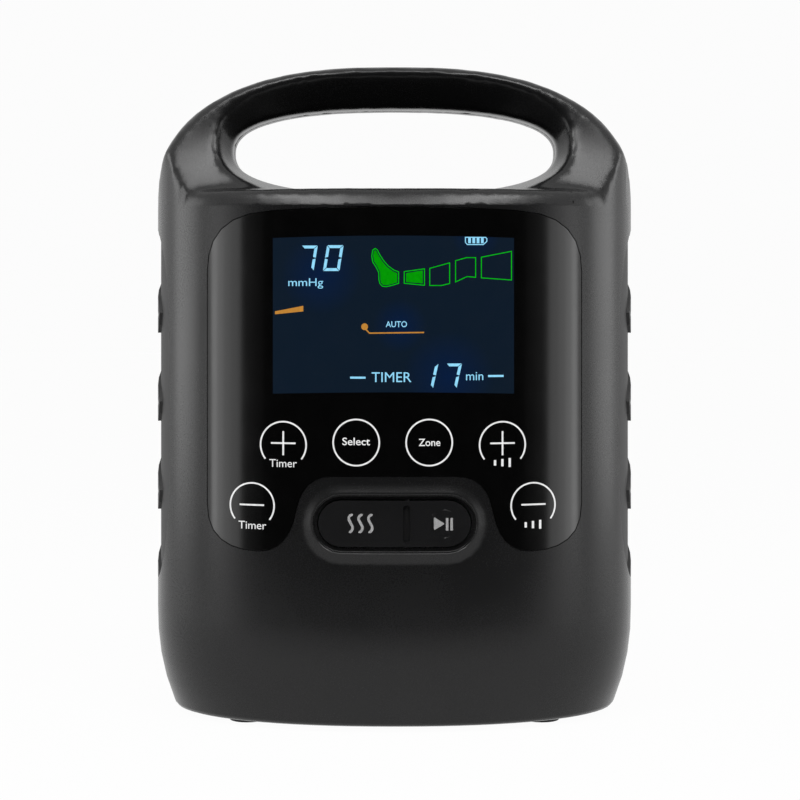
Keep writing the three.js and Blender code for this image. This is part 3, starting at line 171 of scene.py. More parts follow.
WHITE = (1.0, 1.0, 1.0, 1.0)
PAPER_GREY = (0.82, 0.82, 0.82, 1.0)
PAPER_GLOW = 0.97
PAPER_FRONT = -0.23
PAPER_DEPTH = 6.0
PAPER_RISE = 3.0
paper, paper_shader, wire = finish_of("white_paper", Base_Color=PAPER_GREY, Roughness=0.9)
glow = wire.node("ShaderNodeEmission", None, {"Color": WHITE, "Strength": 1.0})
lit = Wire(paper.node_tree, paper_shader.outputs[0])
share = seen_plainly(wire) * PAPER_GLOW
mixed = wire.node("ShaderNodeMixShader", None, {0: share, 1: lit, 2: glow})
paper.node_tree.links.new(mixed.socket, paper.node_tree.nodes["Material Output"].inputs[0])

bpy.ops.object.select_all(action="DESELECT")
middle = (0.0, PAPER_FRONT + PAPER_DEPTH / 2, 0.0)
bpy.ops.mesh.primitive_plane_add(size=PAPER_DEPTH, location=middle)
bpy.ops.object.transform_apply(location=True, rotation=False, scale=False)
sweep = bpy.context.active_object
sweep.name = "paper_sweep"
bpy.ops.object.mode_set(mode="EDIT")
bpy.ops.mesh.select_all(action="DESELECT")
shape = bmesh.from_edit_mesh(sweep.data)
for edge in shape.edges:
    edge.select_set(all(point.co.y > PAPER_DEPTH / 2 for point in edge.verts))
bmesh.update_edit_mesh(sweep.data)
bpy.ops.mesh.extrude_region_move(TRANSFORM_OT_translate={"value": (0.0, 0.0, PAPER_RISE)})
bpy.ops.object.mode_set(mode="OBJECT")
sweep.data.materials.append(paper)

world = bpy.data.worlds.new("room")
world.use_nodes = True
background = world.node_tree.nodes["Background"]
background.inputs["Color"].default_value = WHITE
ROOM_DIM = 0.05
strength = seen_plainly(Wire(world.node_tree)) * (1.0 - ROOM_DIM) + ROOM_DIM
world.node_tree.links.new(strength.socket, background.inputs["Strength"])
scene.world = world

# Behind the camera stands a black card, which only reflections see, so that the gloss panel
# stays black.
CARD_BLACK = (0.002, 0.002, 0.002, 1.0)
CARD_PLACE = (0.0, -1.9, 0.2)
UPRIGHT = (math.pi / 2, 0.0, 0.0)
card = finish_of("black_card", Base_Color=CARD_BLACK, Roughness=1.0)[0]
bpy.ops.object.select_all(action="DESELECT")
bpy.ops.mesh.primitive_plane_add(size=5.0, location=CARD_PLACE, rotation=UPRIGHT)
flag = bpy.context.active_object
flag.name = "black_card"
flag.data.materials.append(card)
flag.visible_camera = False
flag.visible_diffuse = False
flag.visible_shadow = False


def soft_box(name, place, aim, width, height, power):
    """A rectangular lamp of a size in metres and a power in watts, turned to a point."""
    lamp = bpy.data.lights.new(name, "AREA")
    lamp.shape = "RECTANGLE"
    lamp.size = width
    lamp.size_y = height
    lamp.energy = power
    holder = bpy.data.objects.new(name, lamp)
    holder.location = place
    toward = Vector(aim) - Vector(place)
    holder.rotation_euler = toward.to_track_quat("-Z", "Y").to_euler()
    scene.collection.objects.link(holder)


MID_Z = 0.12
MIDDLE = (0.0, 0.0, MID_Z)
SHOULDER = (0.0, 0.0, 0.15)
# The strips stand on an arc of 1 m about the cabinet's corner, each about half as strong as
# the one before.
STRIPS = 7
STRIP_FIRST = 70.0
STRIP_STEP = 4.4
STRIP_POWER = 0.27
STRIP_FADE = 0.53
CORNER_X, CORNER_Y = 0.06, -0.045
for side, name in ((-1.0, "left"), (1.0, "right")):
    soft_box("box_" + name, (side * 1.0, 0.09, 0.2), MIDDLE, 0.42, 0.9, 3.6)
    soft_box("high_" + name, (side * 0.37, -0.53, 0.92), SHOULDER, 0.4, 0.24, 3.0)
    corner = (side * CORNER_X, CORNER_Y, MID_Z)
    for step in range(STRIPS):
        azimuth = math.radians(STRIP_FIRST - STRIP_STEP * step)
        place = (side * (CORNER_X + math.sin(azimuth)), CORNER_Y - math.cos(azimuth), MID_Z)
        power = STRIP_POWER * STRIP_FADE ** step
        soft_box(f"strip_{name}_{step}", place, corner, 0.078, 0.4, power)
soft_box("box_high", (0.0, -0.72, 0.85), MIDDLE, 0.7, 0.22, 3.0)

# Cabinet shells
# Two halves moulded in satin black plastic with a fine spark texture, screwed together from
# the rear. Each half carries its share of the handle.


def in_object_space(wire):
    return wire.node("ShaderNodeTexCoord", output=3)


def noise(wire, place, scale, detail):
    """Noise about one half, its scale in waves to the metre."""
    sockets = {"Vector": place, "Scale": scale, "Detail": detail}
    return wire.node("ShaderNodeTexNoise", None, sockets)


def ramp(wire, low, dark, high, pale, by):
    """A colour that runs from dark to pale as a value runs from low to high."""
    return wire.node("ShaderNodeValToRGB", {"stops": [(low, dark), (high, pale)]}, {0: by})


def bumped(wire, height, depth, strength):
    """A normal from a height of 0 to 1, its full depth in metres."""
    sockets = {"Height": height, "Distance": depth, "Strength": strength}
    return wire.node("ShaderNodeBump", None, sockets)


SLOW_DRIFT = 30.0


def moulded(name, colour, rough, grain=2400.0, depth=0.00002, **fixed):
    """Moulded plastic or rubber: a fine grain, and a slow drift of colour and of gloss."""
    material, shader, wire = finish_of(name, **fixed)
    place = in_object_space(wire)
    fine = noise(wire, place, grain, 3.0)
    slow = noise(wire, place, SLOW_DRIFT, 2.0)
    dark = [channel * 0.84 for channel in colour]
    pale = [channel * 1.18 for channel in colour]
    tint = ramp(wire, 0.32, dark, 0.68, pale, fine * 0.5 + slow * 0.5)
    gloss = fine * 0.1 + slow * 0.1 + (rough - 0.1)
    join(shader, Base_Color=tint, Roughness=gloss, Normal=bumped(wire, fine, depth, 0.7))
    return material


def pick(made, kind, wanted):
    """Selects those points, edges or faces of the edited mesh that pass a test."""
    bpy.ops.mesh.select_all(action="DESELECT")
    shape = bmesh.from_edit_mesh(made.data)
    for part in getattr(shape, kind):
        part.select_set(wanted(part))
    bmesh.update_edit_mesh(made.data)


SAME_POINT = 0.000004
FLAT_DEGREES = 0.5


def merged_copy(name, source):
    """Opens a copy of one CAD node for editing, its equal points and flat faces merged."""
    bpy.ops.object.select_all(action="DESELECT")
    made = bpy.data.objects.new(name, cad[source].data.copy())
    scene.collection.objects.link(made)
    bpy.context.view_layer.objects.active = made
    made.select_set(True)
    bpy.ops.object.mode_set(mode="EDIT")
    bpy.ops.mesh.select_all(action="SELECT")
    bpy.ops.mesh.remove_doubles(threshold=SAME_POINT)
    bpy.ops.mesh.dissolve_limited(angle_limit=math.radians(FLAT_DEGREES))
    return made


# The cabinet's plan is half of one oval in front and half of another at the rear. It tapers
# towards the base, and its rear slopes in towards the handle.
CENTRE_Y = 0.003675
HALF_WIDTH = 0.093
FRONT_DEPTH = 0.058
REAR_DEPTH = 0.052
FRONT_POWER = 2.15
REAR_POWER = 3.2
BASE_Z = 0.002
TAPER_TOP_Z = 0.041
SIDE_TAPER = 0.0075
FRONT_TAPER = 0.005
TAPER_POWER = 2.3
SLOPE_START_Z = 0.158
SLOPE_RISE = 0.044
SLOPE_END_DEPTH = 0.014
SLOPE_POWER = 2.2
SLOPE_LAST = 0.999


def plan_reach(x, y, z):
    """How far out a point lies: the level of the oval through it at its height, 1 on the face."""
    taper = max(0.0, (TAPER_TOP_Z - z) / (TAPER_TOP_Z - BASE_Z)) ** TAPER_POWER
    if y < CENTRE_Y:
        depth, power = FRONT_DEPTH - FRONT_TAPER * taper, FRONT_POWER
    else:
        rise = min(max(0.0, z - SLOPE_START_Z) / SLOPE_RISE, SLOPE_LAST)
        fall = (1 - rise ** SLOPE_POWER) ** (1 / SLOPE_POWER)
        depth, power = SLOPE_END_DEPTH + (REAR_DEPTH - SLOPE_END_DEPTH) * fall, REAR_POWER
    half = HALF_WIDTH - SIDE_TAPER * taper
    return abs(x / half) ** power + abs((y - CENTRE_Y) / depth) ** power


PROBE = 0.0001


def bowed_normal(x, y, z):
    """The normal of the true curve at a point: the way in which the level of the oval grows."""
    return Vector((
        plan_reach(x + PROBE, y, z) - plan_reach(x - PROBE, y, z),
        plan_reach(x, y + PROBE, z) - plan_reach(x, y - PROBE, z),
        plan_reach(x, y, z + PROBE) - plan_reach(x, y, z - PROBE),
    )).normalized()


NEAR_COSINE = math.cos(math.radians(6.0))
SLOPE_COSINE = math.cos(math.radians(20.0))
FOOT_REACH = 0.004


def shade_bowed(made, ceiling):
    """Gives the faces that follow the cabinet's bow the normals of the true curve. So it does
    at the foot of a low slope on them, which then rises without a crease."""
    mesh = made.data
    normals = [Vector(corner.vector) for corner in mesh.corner_normals]
    for face in mesh.polygons:
        likeness = bowed_normal(*face.center).dot(face.normal) if face.center.z < ceiling else 0.0
        if likeness > SLOPE_COSINE:
            for corner in face.loop_indices:
                place = mesh.vertices[mesh.loops[corner].vertex_index].co
                if likeness > NEAR_COSINE or abs(plan_reach(*place) - 1.0) < FOOT_REACH:
                    normals[corner] = bowed_normal(*place)
    mesh.normals_split_custom_set(normals)


SHARP_DEGREES = 32


def stand_for(made, source, material, bowed_below=0.0):
    """Smooths a finished skin and lets it stand for its CAD node."""
    bpy.ops.object.mode_set(mode="OBJECT")
    bpy.ops.object.shade_smooth_by_angle(angle=math.radians(SHARP_DEGREES))
    even = made.modifiers.new("even_shading", "WEIGHTED_NORMAL")
    even.keep_sharp = True
    bpy.ops.object.modifier_apply(modifier=even.name)
    if bowed_below:
        shade_bowed(made, bowed_below)
    made.data.materials.clear()
    made.data.materials.append(material)
    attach(made, cad[source]["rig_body"])
    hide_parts(source)


def skin(name, source, material, soften, bowed_below=0.0):
    """A merged and smoothed skin of one CAD node, its edges a little rounded."""
    made = merged_copy(name, source)
    bpy.ops.object.mode_set(mode="OBJECT")
    rim = made.modifiers.new("soft_rim", "BEVEL")
    rim.width = soften
    rim.segments = 2
    rim.limit_method = "ANGLE"
    rim.angle_limit = math.radians(SHARP_DEGREES)
    bpy.ops.object.modifier_apply(modifier=rim.name)
    stand_for(made, source, material, bowed_below)


FACE_Y = -0.03
POCKET_LOW_Z = 0.06
POCKET_HIGH_Z = 0.1953
POCKET_REACH = 0.004


def on_pocket_rim(place):
    """Whether a point lies on the cabinet's front face, at the height of the panel's pocket."""
    on_face = abs(plan_reach(*place) - 1.0) < POCKET_REACH
    return on_face and place.y < FACE_Y and POCKET_LOW_Z < place.z < POCKET_HIGH_Z


COLLAR_Y = -0.05
KEY_STRAIGHT = 0.01965
KEY_Z = 0.078
COLLAR_RIM = 0.01055
COLLAR_REACH = 0.0002


def on_collar_rim(place):
    """Whether a point lies on the collar's inner rim, a slot with round ends."""
    end = max(abs(place.x) - KEY_STRAIGHT, 0.0)
    on_rim = abs(math.hypot(end, place.z - KEY_Z) - COLLAR_RIM) < COLLAR_REACH
    return on_rim and place.y < COLLAR_Y


STEEP = math.radians(40.0)


def round_trims(made):
    """Rounds the rim of the panel's pocket and the inner rim of the key's collar. It comes
    last, since merging points after a bevel would not come out alike each run."""
    bpy.ops.mesh.select_mode(type="EDGE")
    for on_rim, offset in ((on_pocket_rim, 0.0003), (on_collar_rim, 0.00045)):
        pick(made, "edges", lambda edge: (
            edge.calc_face_angle(0.0) > STEEP and all(on_rim(point.co) for point in edge.verts)
        ))
        bpy.ops.mesh.bevel(offset=offset, segments=3, affect="EDGES", clamp_overlap=True)
    bpy.ops.mesh.select_mode(type="VERT")


CELL = 0.0016
MERGE_WIDTH = 0.0004
RELAX_ROUNDS = 8
SHOULDER_Z = 0.1955
SEAM_Y = -0.000325
SEAM_MARGIN = 0.0018
SEAM_GAP = 0.00032


def cut_across(axis, low, high, band):
    """Cuts what shows of the edited mesh with planes across one axis, one band apart."""
    for step in range(1, int((high[axis] - low[axis]) / band)):
        place = [0.0, 0.0, 0.0]
        way = [0.0, 0.0, 0.0]
        place[axis] = low[axis] + step * band
        way[axis] = 1.0
        bpy.ops.mesh.select_all(action="SELECT")
        bpy.ops.mesh.bisect(plane_co=place, plane_no=way)


def shell_skin(name, source):
    """A skin of one shell. Its shoulder and handle are cut into small cells and relaxed, so
    that the joins of the moulding melt together there, but for the rims at the seam."""
    made = merged_copy(name, source)
    low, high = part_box(source)
    low.z = SHOULDER_Z
    bpy.ops.mesh.select_all(action="SELECT")
    bpy.ops.mesh.bisect(plane_co=(0.0, 0.0, SHOULDER_Z), plane_no=(0.0, 0.0, 1.0))
    pick(made, "faces", lambda face: face.calc_center_median().z < SHOULDER_Z)
    bpy.ops.mesh.hide()
    bpy.ops.mesh.select_all(action="SELECT")
    bpy.ops.mesh.quads_convert_to_tris()
    for axis in (2, 0, 1):
        cut_across(axis, low, high, CELL)
    bpy.ops.mesh.select_all(action="SELECT")
    bpy.ops.mesh.remove_doubles(threshold=MERGE_WIDTH)
    bpy.ops.mesh.quads_convert_to_tris()
    pick(made, "verts", lambda point: (
        not point.hide
        and abs(point.co.y - SEAM_Y) >= SEAM_MARGIN
        and point.co.z > SHOULDER_Z + MERGE_WIDTH
    ))
    bpy.ops.mesh.vertices_smooth(factor=0.5, repeat=RELAX_ROUNDS)
    bpy.ops.mesh.reveal()
    round_trims(made)
    stand_for(made, source, shell_plastic, SHOULDER_Z + CELL)


TONGUE_INSET = 0.0009
FORWARD = -0.999


def seam_tongue(name, source):
    """The tongue round the rear shell's rim, which closes the seam to light and dust."""
    made = merged_copy(name, source)
    bpy.ops.mesh.select_mode(type="FACE")
    pick(made, "faces", lambda face: (
        face.normal.y < FORWARD and abs(face.calc_center_median().y - SEAM_Y) < SEAM_GAP
    ))
    bpy.ops.mesh.select_all(action="INVERT")
    bpy.ops.mesh.delete(type="FACE")
    bpy.ops.mesh.select_all(action="SELECT")
    bpy.ops.mesh.remove_doubles(threshold=MERGE_WIDTH)
    bpy.ops.mesh.inset(thickness=TONGUE_INSET, use_boundary=True, use_even_offset=False)
    bpy.ops.mesh.select_all(action="INVERT")
    bpy.ops.mesh.delete(type="FACE")
    bpy.ops.mesh.select_all(action="SELECT")
    bpy.ops.mesh.extrude_region_move(TRANSFORM_OT_translate={"value": (0.0, -SEAM_GAP, 0.0)})
    bpy.ops.mesh.select_all(action="SELECT")
    bpy.ops.mesh.normals_make_consistent(inside=False)
    bpy.ops.mesh.select_mode(type="VERT")
    bpy.ops.object.mode_set(mode="OBJECT")
    made.data.materials.clear()
    made.data.materials.append(shell_plastic)
    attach(made, cad[source]["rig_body"])


SHELL_BLACK = (0.0105, 0.0105, 0.0108)
shell_plastic = moulded("satin_shell_plastic", SHELL_BLACK, 0.27, Specular_IOR_Level=0.32)
shell_skin("front_shell_skin", "front_shell")
shell_skin("rear_shell_skin", "rear_shell")
seam_tongue("seam_tongue", "rear_shell")

# Front panel
# One gloss black moulding with a dark window for the screen, clipped into a recess of the
# front shell. The window shows the screen's own dim blue light.
MM = 0.001
WINDOW_LEFT, WINDOW_RIGHT, WINDOW_LOW, WINDOW_HIGH = -45.1, 44.3, 125.7, 183.4
WINDOW_BOW = 0.7
# Brighter patches of the backlight: x, z and reach in mm.
GLOWS = ((-27.0, 170.0, 15.0), (20.0, 132.0, 17.0), (30.0, 184.0, 9.0), (2.0, 151.0, 10.0))
GLOW_SHARE = 0.9
BLACK = (0.0, 0.0, 0.0, 1.0)
panel_gloss, shader, wire = finish_of(
    "gloss_black_panel", Specular_IOR_Level=0.5, Emission_Strength=1.0
)
place = in_object_space(wire)
across = wire.node("ShaderNodeSeparateXYZ", None, {0: place}, output=0)
height = wire.node("ShaderNodeSeparateXYZ", None, {0: place}, output=2)
bow = (1.0 - (across * (1.0 / (WINDOW_RIGHT * MM))).math("POWER", 2.0)) * (WINDOW_BOW * MM)
inside = (across > WINDOW_LEFT * MM) * (across < WINDOW_RIGHT * MM)
inside = inside * (height > bow + WINDOW_LOW * MM) * (height < bow + WINDOW_HIGH * MM)
shine = noise(wire, place, 45.0, 2.0) * 0.1
flat = wire.node("ShaderNodeCombineXYZ", None, {0: across, 2: height})
for glow_x, glow_z, reach in GLOWS:
    ends = {0: flat, 1: (glow_x * MM, 0.0, glow_z * MM)}
    apart = wire.node("ShaderNodeVectorMath", {"operation": "DISTANCE"}, ends, output=1)
    shine = shine + (1.0 - (apart * (1.0 / (reach * MM)))).math("MAXIMUM", 0.0) * GLOW_SHARE
backlight = ramp(wire, 0.0, (0.0036, 0.0098, 0.0195), 1.0, (0.0012, 0.0105, 0.046), shine)
colours = {0: inside, 6: BLACK, 7: backlight}
emitted = wire.node("ShaderNodeMix", {"data_type": "RGBA"}, colours, output=2)
smears = noise(wire, place, 120.0, 4.0)
join(
    shader,
    Base_Color=ramp(wire, 0.2, (0.0011,) * 3, 0.8, (0.0024,) * 3, smears),
    Emission_Color=emitted,
    Roughness=smears * 0.06 + 0.09,
    Normal=bumped(wire, smears, 0.00001, 0.3),
)
skin("front_panel_skin", "front_lens", panel_gloss, soften=0.00022, bowed_below=1.0)

# Screen picture
# The segments that light up on the screen: pressure, treatment time, the zones of the leg
# and the battery gauge. Each is a film on the face of the panel.


def face_of(node):
    """The surface of one CAD node, to lay films on."""
    mesh = cad[node].data
    points = [point.co.copy() for point in mesh.vertices]
    return BVHTree.FromPolygons(points, [tuple(face.vertices) for face in mesh.polygons])


def outlined(points, line=0.0):
    """A flat shape in the picture plane, in mm: filled, or cut to a line of one width."""
    bpy.ops.object.select_all(action="DESELECT")
    bpy.ops.mesh.primitive_circle_add(vertices=len(points), radius=MM, fill_type="NGON")
    made = bpy.context.active_object
    for point, (x, z) in zip(made.data.vertices, points):
        point.co = (x * MM, 0.0, z * MM)
    made.data.update()
    bpy.ops.object.mode_set(mode="EDIT")
    bpy.ops.mesh.select_all(action="SELECT")
    if made.data.polygons[0].normal.y > 0.0:
        bpy.ops.mesh.flip_normals()
    if line:
        bpy.ops.mesh.inset(thickness=line * MM, depth=0.0)
        bpy.ops.mesh.delete(type="FACE")
    bpy.ops.object.mode_set(mode="OBJECT")
    return made


def word(text, left, right, low, high, weight=0.0):
    """A word in plain type, filled out to a box in the picture plane."""
    bpy.ops.object.select_all(action="DESELECT")
    bpy.ops.object.text_add()
    made = bpy.context.active_object
    made.data.body = text
    made.data.offset = weight
    made.data.resolution_u = 4
    bpy.ops.object.convert(target="MESH")
    made = bpy.context.active_object
    points = made.data.vertices
    least_x, most_x = min(p.co.x for p in points), max(p.co.x for p in points)
    least_y, most_y = min(p.co.y for p in points), max(p.co.y for p in points)
    for point in points:
        share_x = (point.co.x - least_x) / (most_x - least_x)
        share_y = (point.co.y - least_y) / (most_y - least_y)
        x = left + (right - left) * share_x
        z = low + (high - low) * share_y
        point.co = (x * MM, 0.0, z * MM)
    return made


FILM_LIFT = 0.00007
FILM_THICKNESS = 0.00004
FOLLOW_STEP = 0.003
FOLLOW_ROUNDS = 4
FAR_IN_FRONT = -0.3
BACKWARD = Vector((0.0, 1.0, 0.0))


def film(name, shapes, material, body, face):
    """Joins flat shapes and lays them on a curved face as one thin film."""
    bpy.ops.object.select_all(action="DESELECT")
    for shape in shapes:
        shape.select_set(True)
    made = shapes[0]
    bpy.context.view_layer.objects.active = made
    bpy.ops.object.join()
    made.name = name
    bpy.ops.object.mode_set(mode="EDIT")
    bpy.ops.mesh.select_all(action="SELECT")
    bpy.ops.mesh.quads_convert_to_tris()
    for turn in range(FOLLOW_ROUNDS):
        grid = bmesh.from_edit_mesh(made.data)
        bpy.ops.mesh.select_all(action="DESELECT")
        long_edges = [edge for edge in grid.edges if edge.calc_length() > FOLLOW_STEP]
        for edge in long_edges:
            edge.select_set(True)
        bmesh.update_edit_mesh(made.data)
        if long_edges:
            bpy.ops.mesh.subdivide(number_cuts=1)
    bpy.ops.mesh.select_all(action="SELECT")
    bpy.ops.mesh.quads_convert_to_tris()
    bpy.ops.object.mode_set(mode="OBJECT")
    for point in made.data.vertices:
        hit = face.ray_cast(Vector((point.co.x, FAR_IN_FRONT, point.co.z)), BACKWARD)[0]
        point.co.y = hit.y - FILM_LIFT
    wall = made.modifiers.new("film_wall", "SOLIDIFY")
    wall.thickness = FILM_THICKNESS
    wall.offset = -1.0
    bpy.ops.object.modifier_apply(modifier=wall.name)
    made.data.materials.clear()
    made.data.materials.append(material)
    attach(made, body)


def glowing(name, colour):
    """A lit ink: its light is a little uneven, as through a printed mask."""
    material, shader, wire = finish_of(name, Emission_Strength=1.0)
    uneven = noise(wire, in_object_space(wire), 700.0, 2.0)
    under = [channel * 0.1 for channel in colour]
    dim = [channel * 0.86 for channel in colour]
    lit = [min(1.0, channel * 1.08) for channel in colour]
    join(
        shader,
        Base_Color=ramp(wire, 0.3, under, 0.7, dim, uneven * 0.4),
        Emission_Color=ramp(wire, 0.3, dim, 0.7, lit, uneven),
        Roughness=uneven * 0.1 + 0.2,
        Normal=bumped(wire, uneven, 0.000005, 0.3),
    )
    return material


SEGMENT = 1.05
SEGMENT_GAP = 0.16


def digit(lit, left, low, width, height, slant):
    """The lit bars of one seven-bar digit, leaning to the right."""
    t, g, half = SEGMENT, SEGMENT_GAP, height / 2
    right = width - t
    bars = {
        "top": [(g, height), (width - g, height), (width - g - t, height - t), (g + t, height - t)],
        "high_right": [
            (width, height - g), (width, half + g), (right, half + 3 * g), (right, height - t - g)
        ],
        "low_right": [(width, half - g), (width, g), (right, t + g), (right, half - 3 * g)],
        "foot": [(g + t, t), (width - g - t, t), (width - g, 0.0), (g, 0.0)],
        "low_left": [(0.0, half - g), (t, half - 3 * g), (t, t + g), (0.0, g)],
        "high_left": [(0.0, height - g), (t, height - t - g), (t, half + 3 * g), (0.0, half + g)],
    }
    return [outlined([(left + x + slant * z, low + z) for x, z in bars[name]]) for name in lit]


def bar(x, z, wide, high):
    """An upright rectangle about its centre."""
    left, right, low, top = x - wide / 2, x + wide / 2, z - high / 2, z + high / 2
    return outlined([(left, low), (right, low), (right, top), (left, top)])


panel_face = face_of("front_lens")
ONE = ("high_right", "low_right")
SEVEN = ("top", *ONE)
NOUGHT = ("top", "foot", "low_left", "high_left", *ONE)
pale_blue = [word("mmHg", -39.3, -26.3, 164.6, 168.4), word("TIMER", -8.4, 6.2, 130.2, 133.8)]
pale_blue += [word("min", 26.4, 32.8, 130.8, 133.8), word("AUTO", -3.2, 4.6, 150.4, 152.6, 0.006)]
pale_blue += digit(SEVEN, -35.8, 171.2, 5.95, 9.3, 0.165)
pale_blue += digit(NOUGHT, -26.4, 171.1, 6.1, 9.5, 0.165)
pale_blue += digit(ONE, 8.5, 127.9, 5.7, 9.1, 0.22)
pale_blue += digit(SEVEN, 17.2, 127.9, 5.7, 9.1, 0.22)
pale_blue += [bar(-13.5, 131.8, 5.7, 0.75), bar(37.5, 132.3, 5.8, 0.75)]
pale_blue += [bar(27.7 + 1.58 * cell, 182.5, 1.0, 2.3) for cell in range(4)]
GAUGE = [(26.0, 183.7), (26.0, 181.6), (26.8, 180.7), (32.9, 180.7)]
GAUGE += [(34.3, 182.0), (34.3, 183.2), (33.7, 183.7)]
pale_blue += [outlined(GAUGE, 0.35)]
blue_light = glowing("lit_pale_blue", (0.28, 0.68, 0.95))
film("screen_figures", pale_blue, blue_light, "cabinet", panel_face)

FOOT = [(-7.12, 179.56), (-8.12, 178.86), (-8.53, 176.63), (-8.12, 174.28), (-6.95, 172.52)]
FOOT += [(-5.95, 170.46), (-5.89, 167.82), (-5.48, 166.36), (-4.6, 165.36), (-3.13, 165.12)]
FOOT += [(-1.08, 165.59), (1.68, 166.41), (1.68, 170.87), (-0.2, 171.58), (-2.25, 173.1)]
FOOT += [(-4.01, 175.16), (-5.48, 177.5), (-6.19, 178.97)]
FOOT_FILL = [(-7.1, 178.8), (-7.62, 178.3), (-7.85, 176.6), (-7.5, 174.6), (-6.4, 172.8)]
FOOT_FILL += [(-5.3, 170.6), (-5.2, 167.9), (-4.95, 166.8), (-4.3, 166.0), (-3.1, 165.8)]
FOOT_FILL += [(-1.2, 166.2), (1.0, 166.9), (1.0, 170.3), (-0.6, 171.0), (-2.8, 172.6)]
FOOT_FILL += [(-4.6, 174.8), (-6.0, 177.1), (-6.6, 178.3)]
ANKLE = [(3.44, 170.99), (11.19, 172.05), (11.19, 165.65), (3.44, 166.41)]
ANKLE_FILL = [(4.26, 170.3), (10.4, 171.3), (10.4, 166.5), (4.26, 167.0)]
CALF = [(12.83, 172.17), (20.48, 174.29), (20.48, 166.36), (17.42, 165.6), (12.83, 165.59)]
KNEE = [(22.37, 175.0), (26.56, 176.19), (30.11, 176.2), (30.11, 168.61)]
KNEE += [(26.85, 168.9), (22.37, 166.83)]
THIGH = [(31.95, 176.33), (43.52, 178.63), (43.52, 167.64), (31.95, 168.44)]
zone_lines = [outlined(zone, 0.3) for zone in (FOOT, ANKLE, CALF, KNEE, THIGH)]
green_line = glowing("lit_green_line", (0.0, 0.5, 0.0))
film("screen_zone_lines", zone_lines, green_line, "cabinet", panel_face)
zone_fills = [outlined(FOOT_FILL), outlined(ANKLE_FILL)]
green_fill = glowing("lit_green_fill", (0.0, 0.29, 0.0))
film("screen_zone_fills", zone_fills, green_fill, "cabinet", panel_face)

DOT_X, DOT_Z, DOT_RADIUS = -11.0, 150.57, 1.24
turns = [turn * math.pi / 12 for turn in range(24)]
DOT = [(DOT_X + DOT_RADIUS * math.cos(turn), DOT_Z + DOT_RADIUS * math.sin(turn)) for turn in turns]
WEDGE = [(-44.3, 155.1), (-33.7, 156.2), (-33.7, 158.25), (-44.3, 156.2)]
LEADER = [(-10.6, 150.0), (-9.1, 148.45), (10.9, 148.7), (10.9, 148.2)]
LEADER += [(-9.3, 147.95), (-11.0, 149.7)]
amber = [outlined(WEDGE), outlined(DOT), outlined(LEADER)]
amber_light = glowing("lit_amber", (0.5, 0.22, 0.035))
film("screen_amber_marks", amber, amber_light, "cabinet", panel_face)

# Touch keys
# Printed marks on the panel, with lamps behind them: rings for the six touch keys, with
# plus and minus for time and for pressure. The outer rings are open where their label sits.
RING_LINE = 0.58
RING_STEPS = 60
OPEN_FROM, OPEN_TO = -38.0, 218.0
STROKE = 0.62
BAR_HEIGHTS = (2.0, 2.7, 3.3)
BAR_STEP = 2.75
BAR_WIDTH = 0.85


def arc(x, z, radius, turns):
    return [(x + radius * math.cos(turn), z + radius * math.sin(turn)) for turn in turns]


def whole_ring(x, z, radius):
    turns = [math.radians(360.0 * step / RING_STEPS) for step in range(RING_STEPS)]
    return outlined(arc(x, z, radius, turns), RING_LINE)


def open_ring(x, z, radius):
    """A round line, left open at the foot, where the label sits."""
    sweep = OPEN_TO - OPEN_FROM
    turns = [math.radians(OPEN_FROM + sweep * step / RING_STEPS) for step in range(RING_STEPS + 1)]
    inner = arc(x, z, radius - RING_LINE, reversed(turns))
    return outlined(arc(x, z, radius, turns) + inner)


def plus(x, z):
    return [bar(x, z, 9.2, STROKE), bar(x, z, STROKE, 8.9)]


def pressure_label(x, z):
    """Three upright bars that grow to the right."""
    bars = enumerate(BAR_HEIGHTS)
    return [bar(x + BAR_STEP * (step - 1), z, BAR_WIDTH, high) for step, high in bars]


marks = [open_ring(-41.2, 106.8, 8.85), *plus(-41.2, 107.4)]
marks += [word("Timer", -46.4, -36.1, 98.5, 101.4)]
marks += [whole_ring(-14.1, 107.9, 8.8), word("Select", -19.2, -9.0, 106.9, 109.7, 0.008)]
marks += [whole_ring(12.8, 107.9, 8.8), word("Zone", 8.9, 16.9, 106.6, 109.3, 0.008)]
marks += [open_ring(40.0, 106.8, 8.85), *plus(40.0, 107.4)]
marks += pressure_label(39.95, 100.2)
marks += [open_ring(-53.0, 84.0, 8.65), bar(-53.1, 84.2, 9.3, STROKE)]
marks += [word("Timer", -58.2, -47.6, 75.2, 78.1)]
marks += [open_ring(51.6, 84.1, 8.65), bar(51.7, 84.4, 9.2, STROKE)]
marks += pressure_label(51.5, 76.9)
white_light = glowing("lit_white", (0.8, 0.8, 0.8))
film("touch_key_marks", marks, white_light, "cabinet", panel_face)

# Rocker key
# A satin black key in a raised collar, rocking on a steel pin under its slot. The heat mark
# and the start mark are pad printed on it in light grey.
KEY_BLACK = (0.0115, 0.0115, 0.012)
key_plastic = moulded(
    "satin_key_plastic", KEY_BLACK, 0.24, 3000.0, 0.000012, Specular_IOR_Level=0.5
)
skin("rocker_key_skin", "rocker_key", key_plastic, soften=0.00035)
HEAT_PATH = [(0.45, 3.15), (-0.2, 2.9), (-0.72, 2.2), (-0.72, 1.4), (-0.3, 0.6), (0.3, -0.5)]
HEAT_PATH += [(0.68, -1.3), (0.68, -2.1), (0.2, -2.9), (-0.35, -3.25)]
HEAT_HALF = 0.48
HEAT_TIP = 0.2


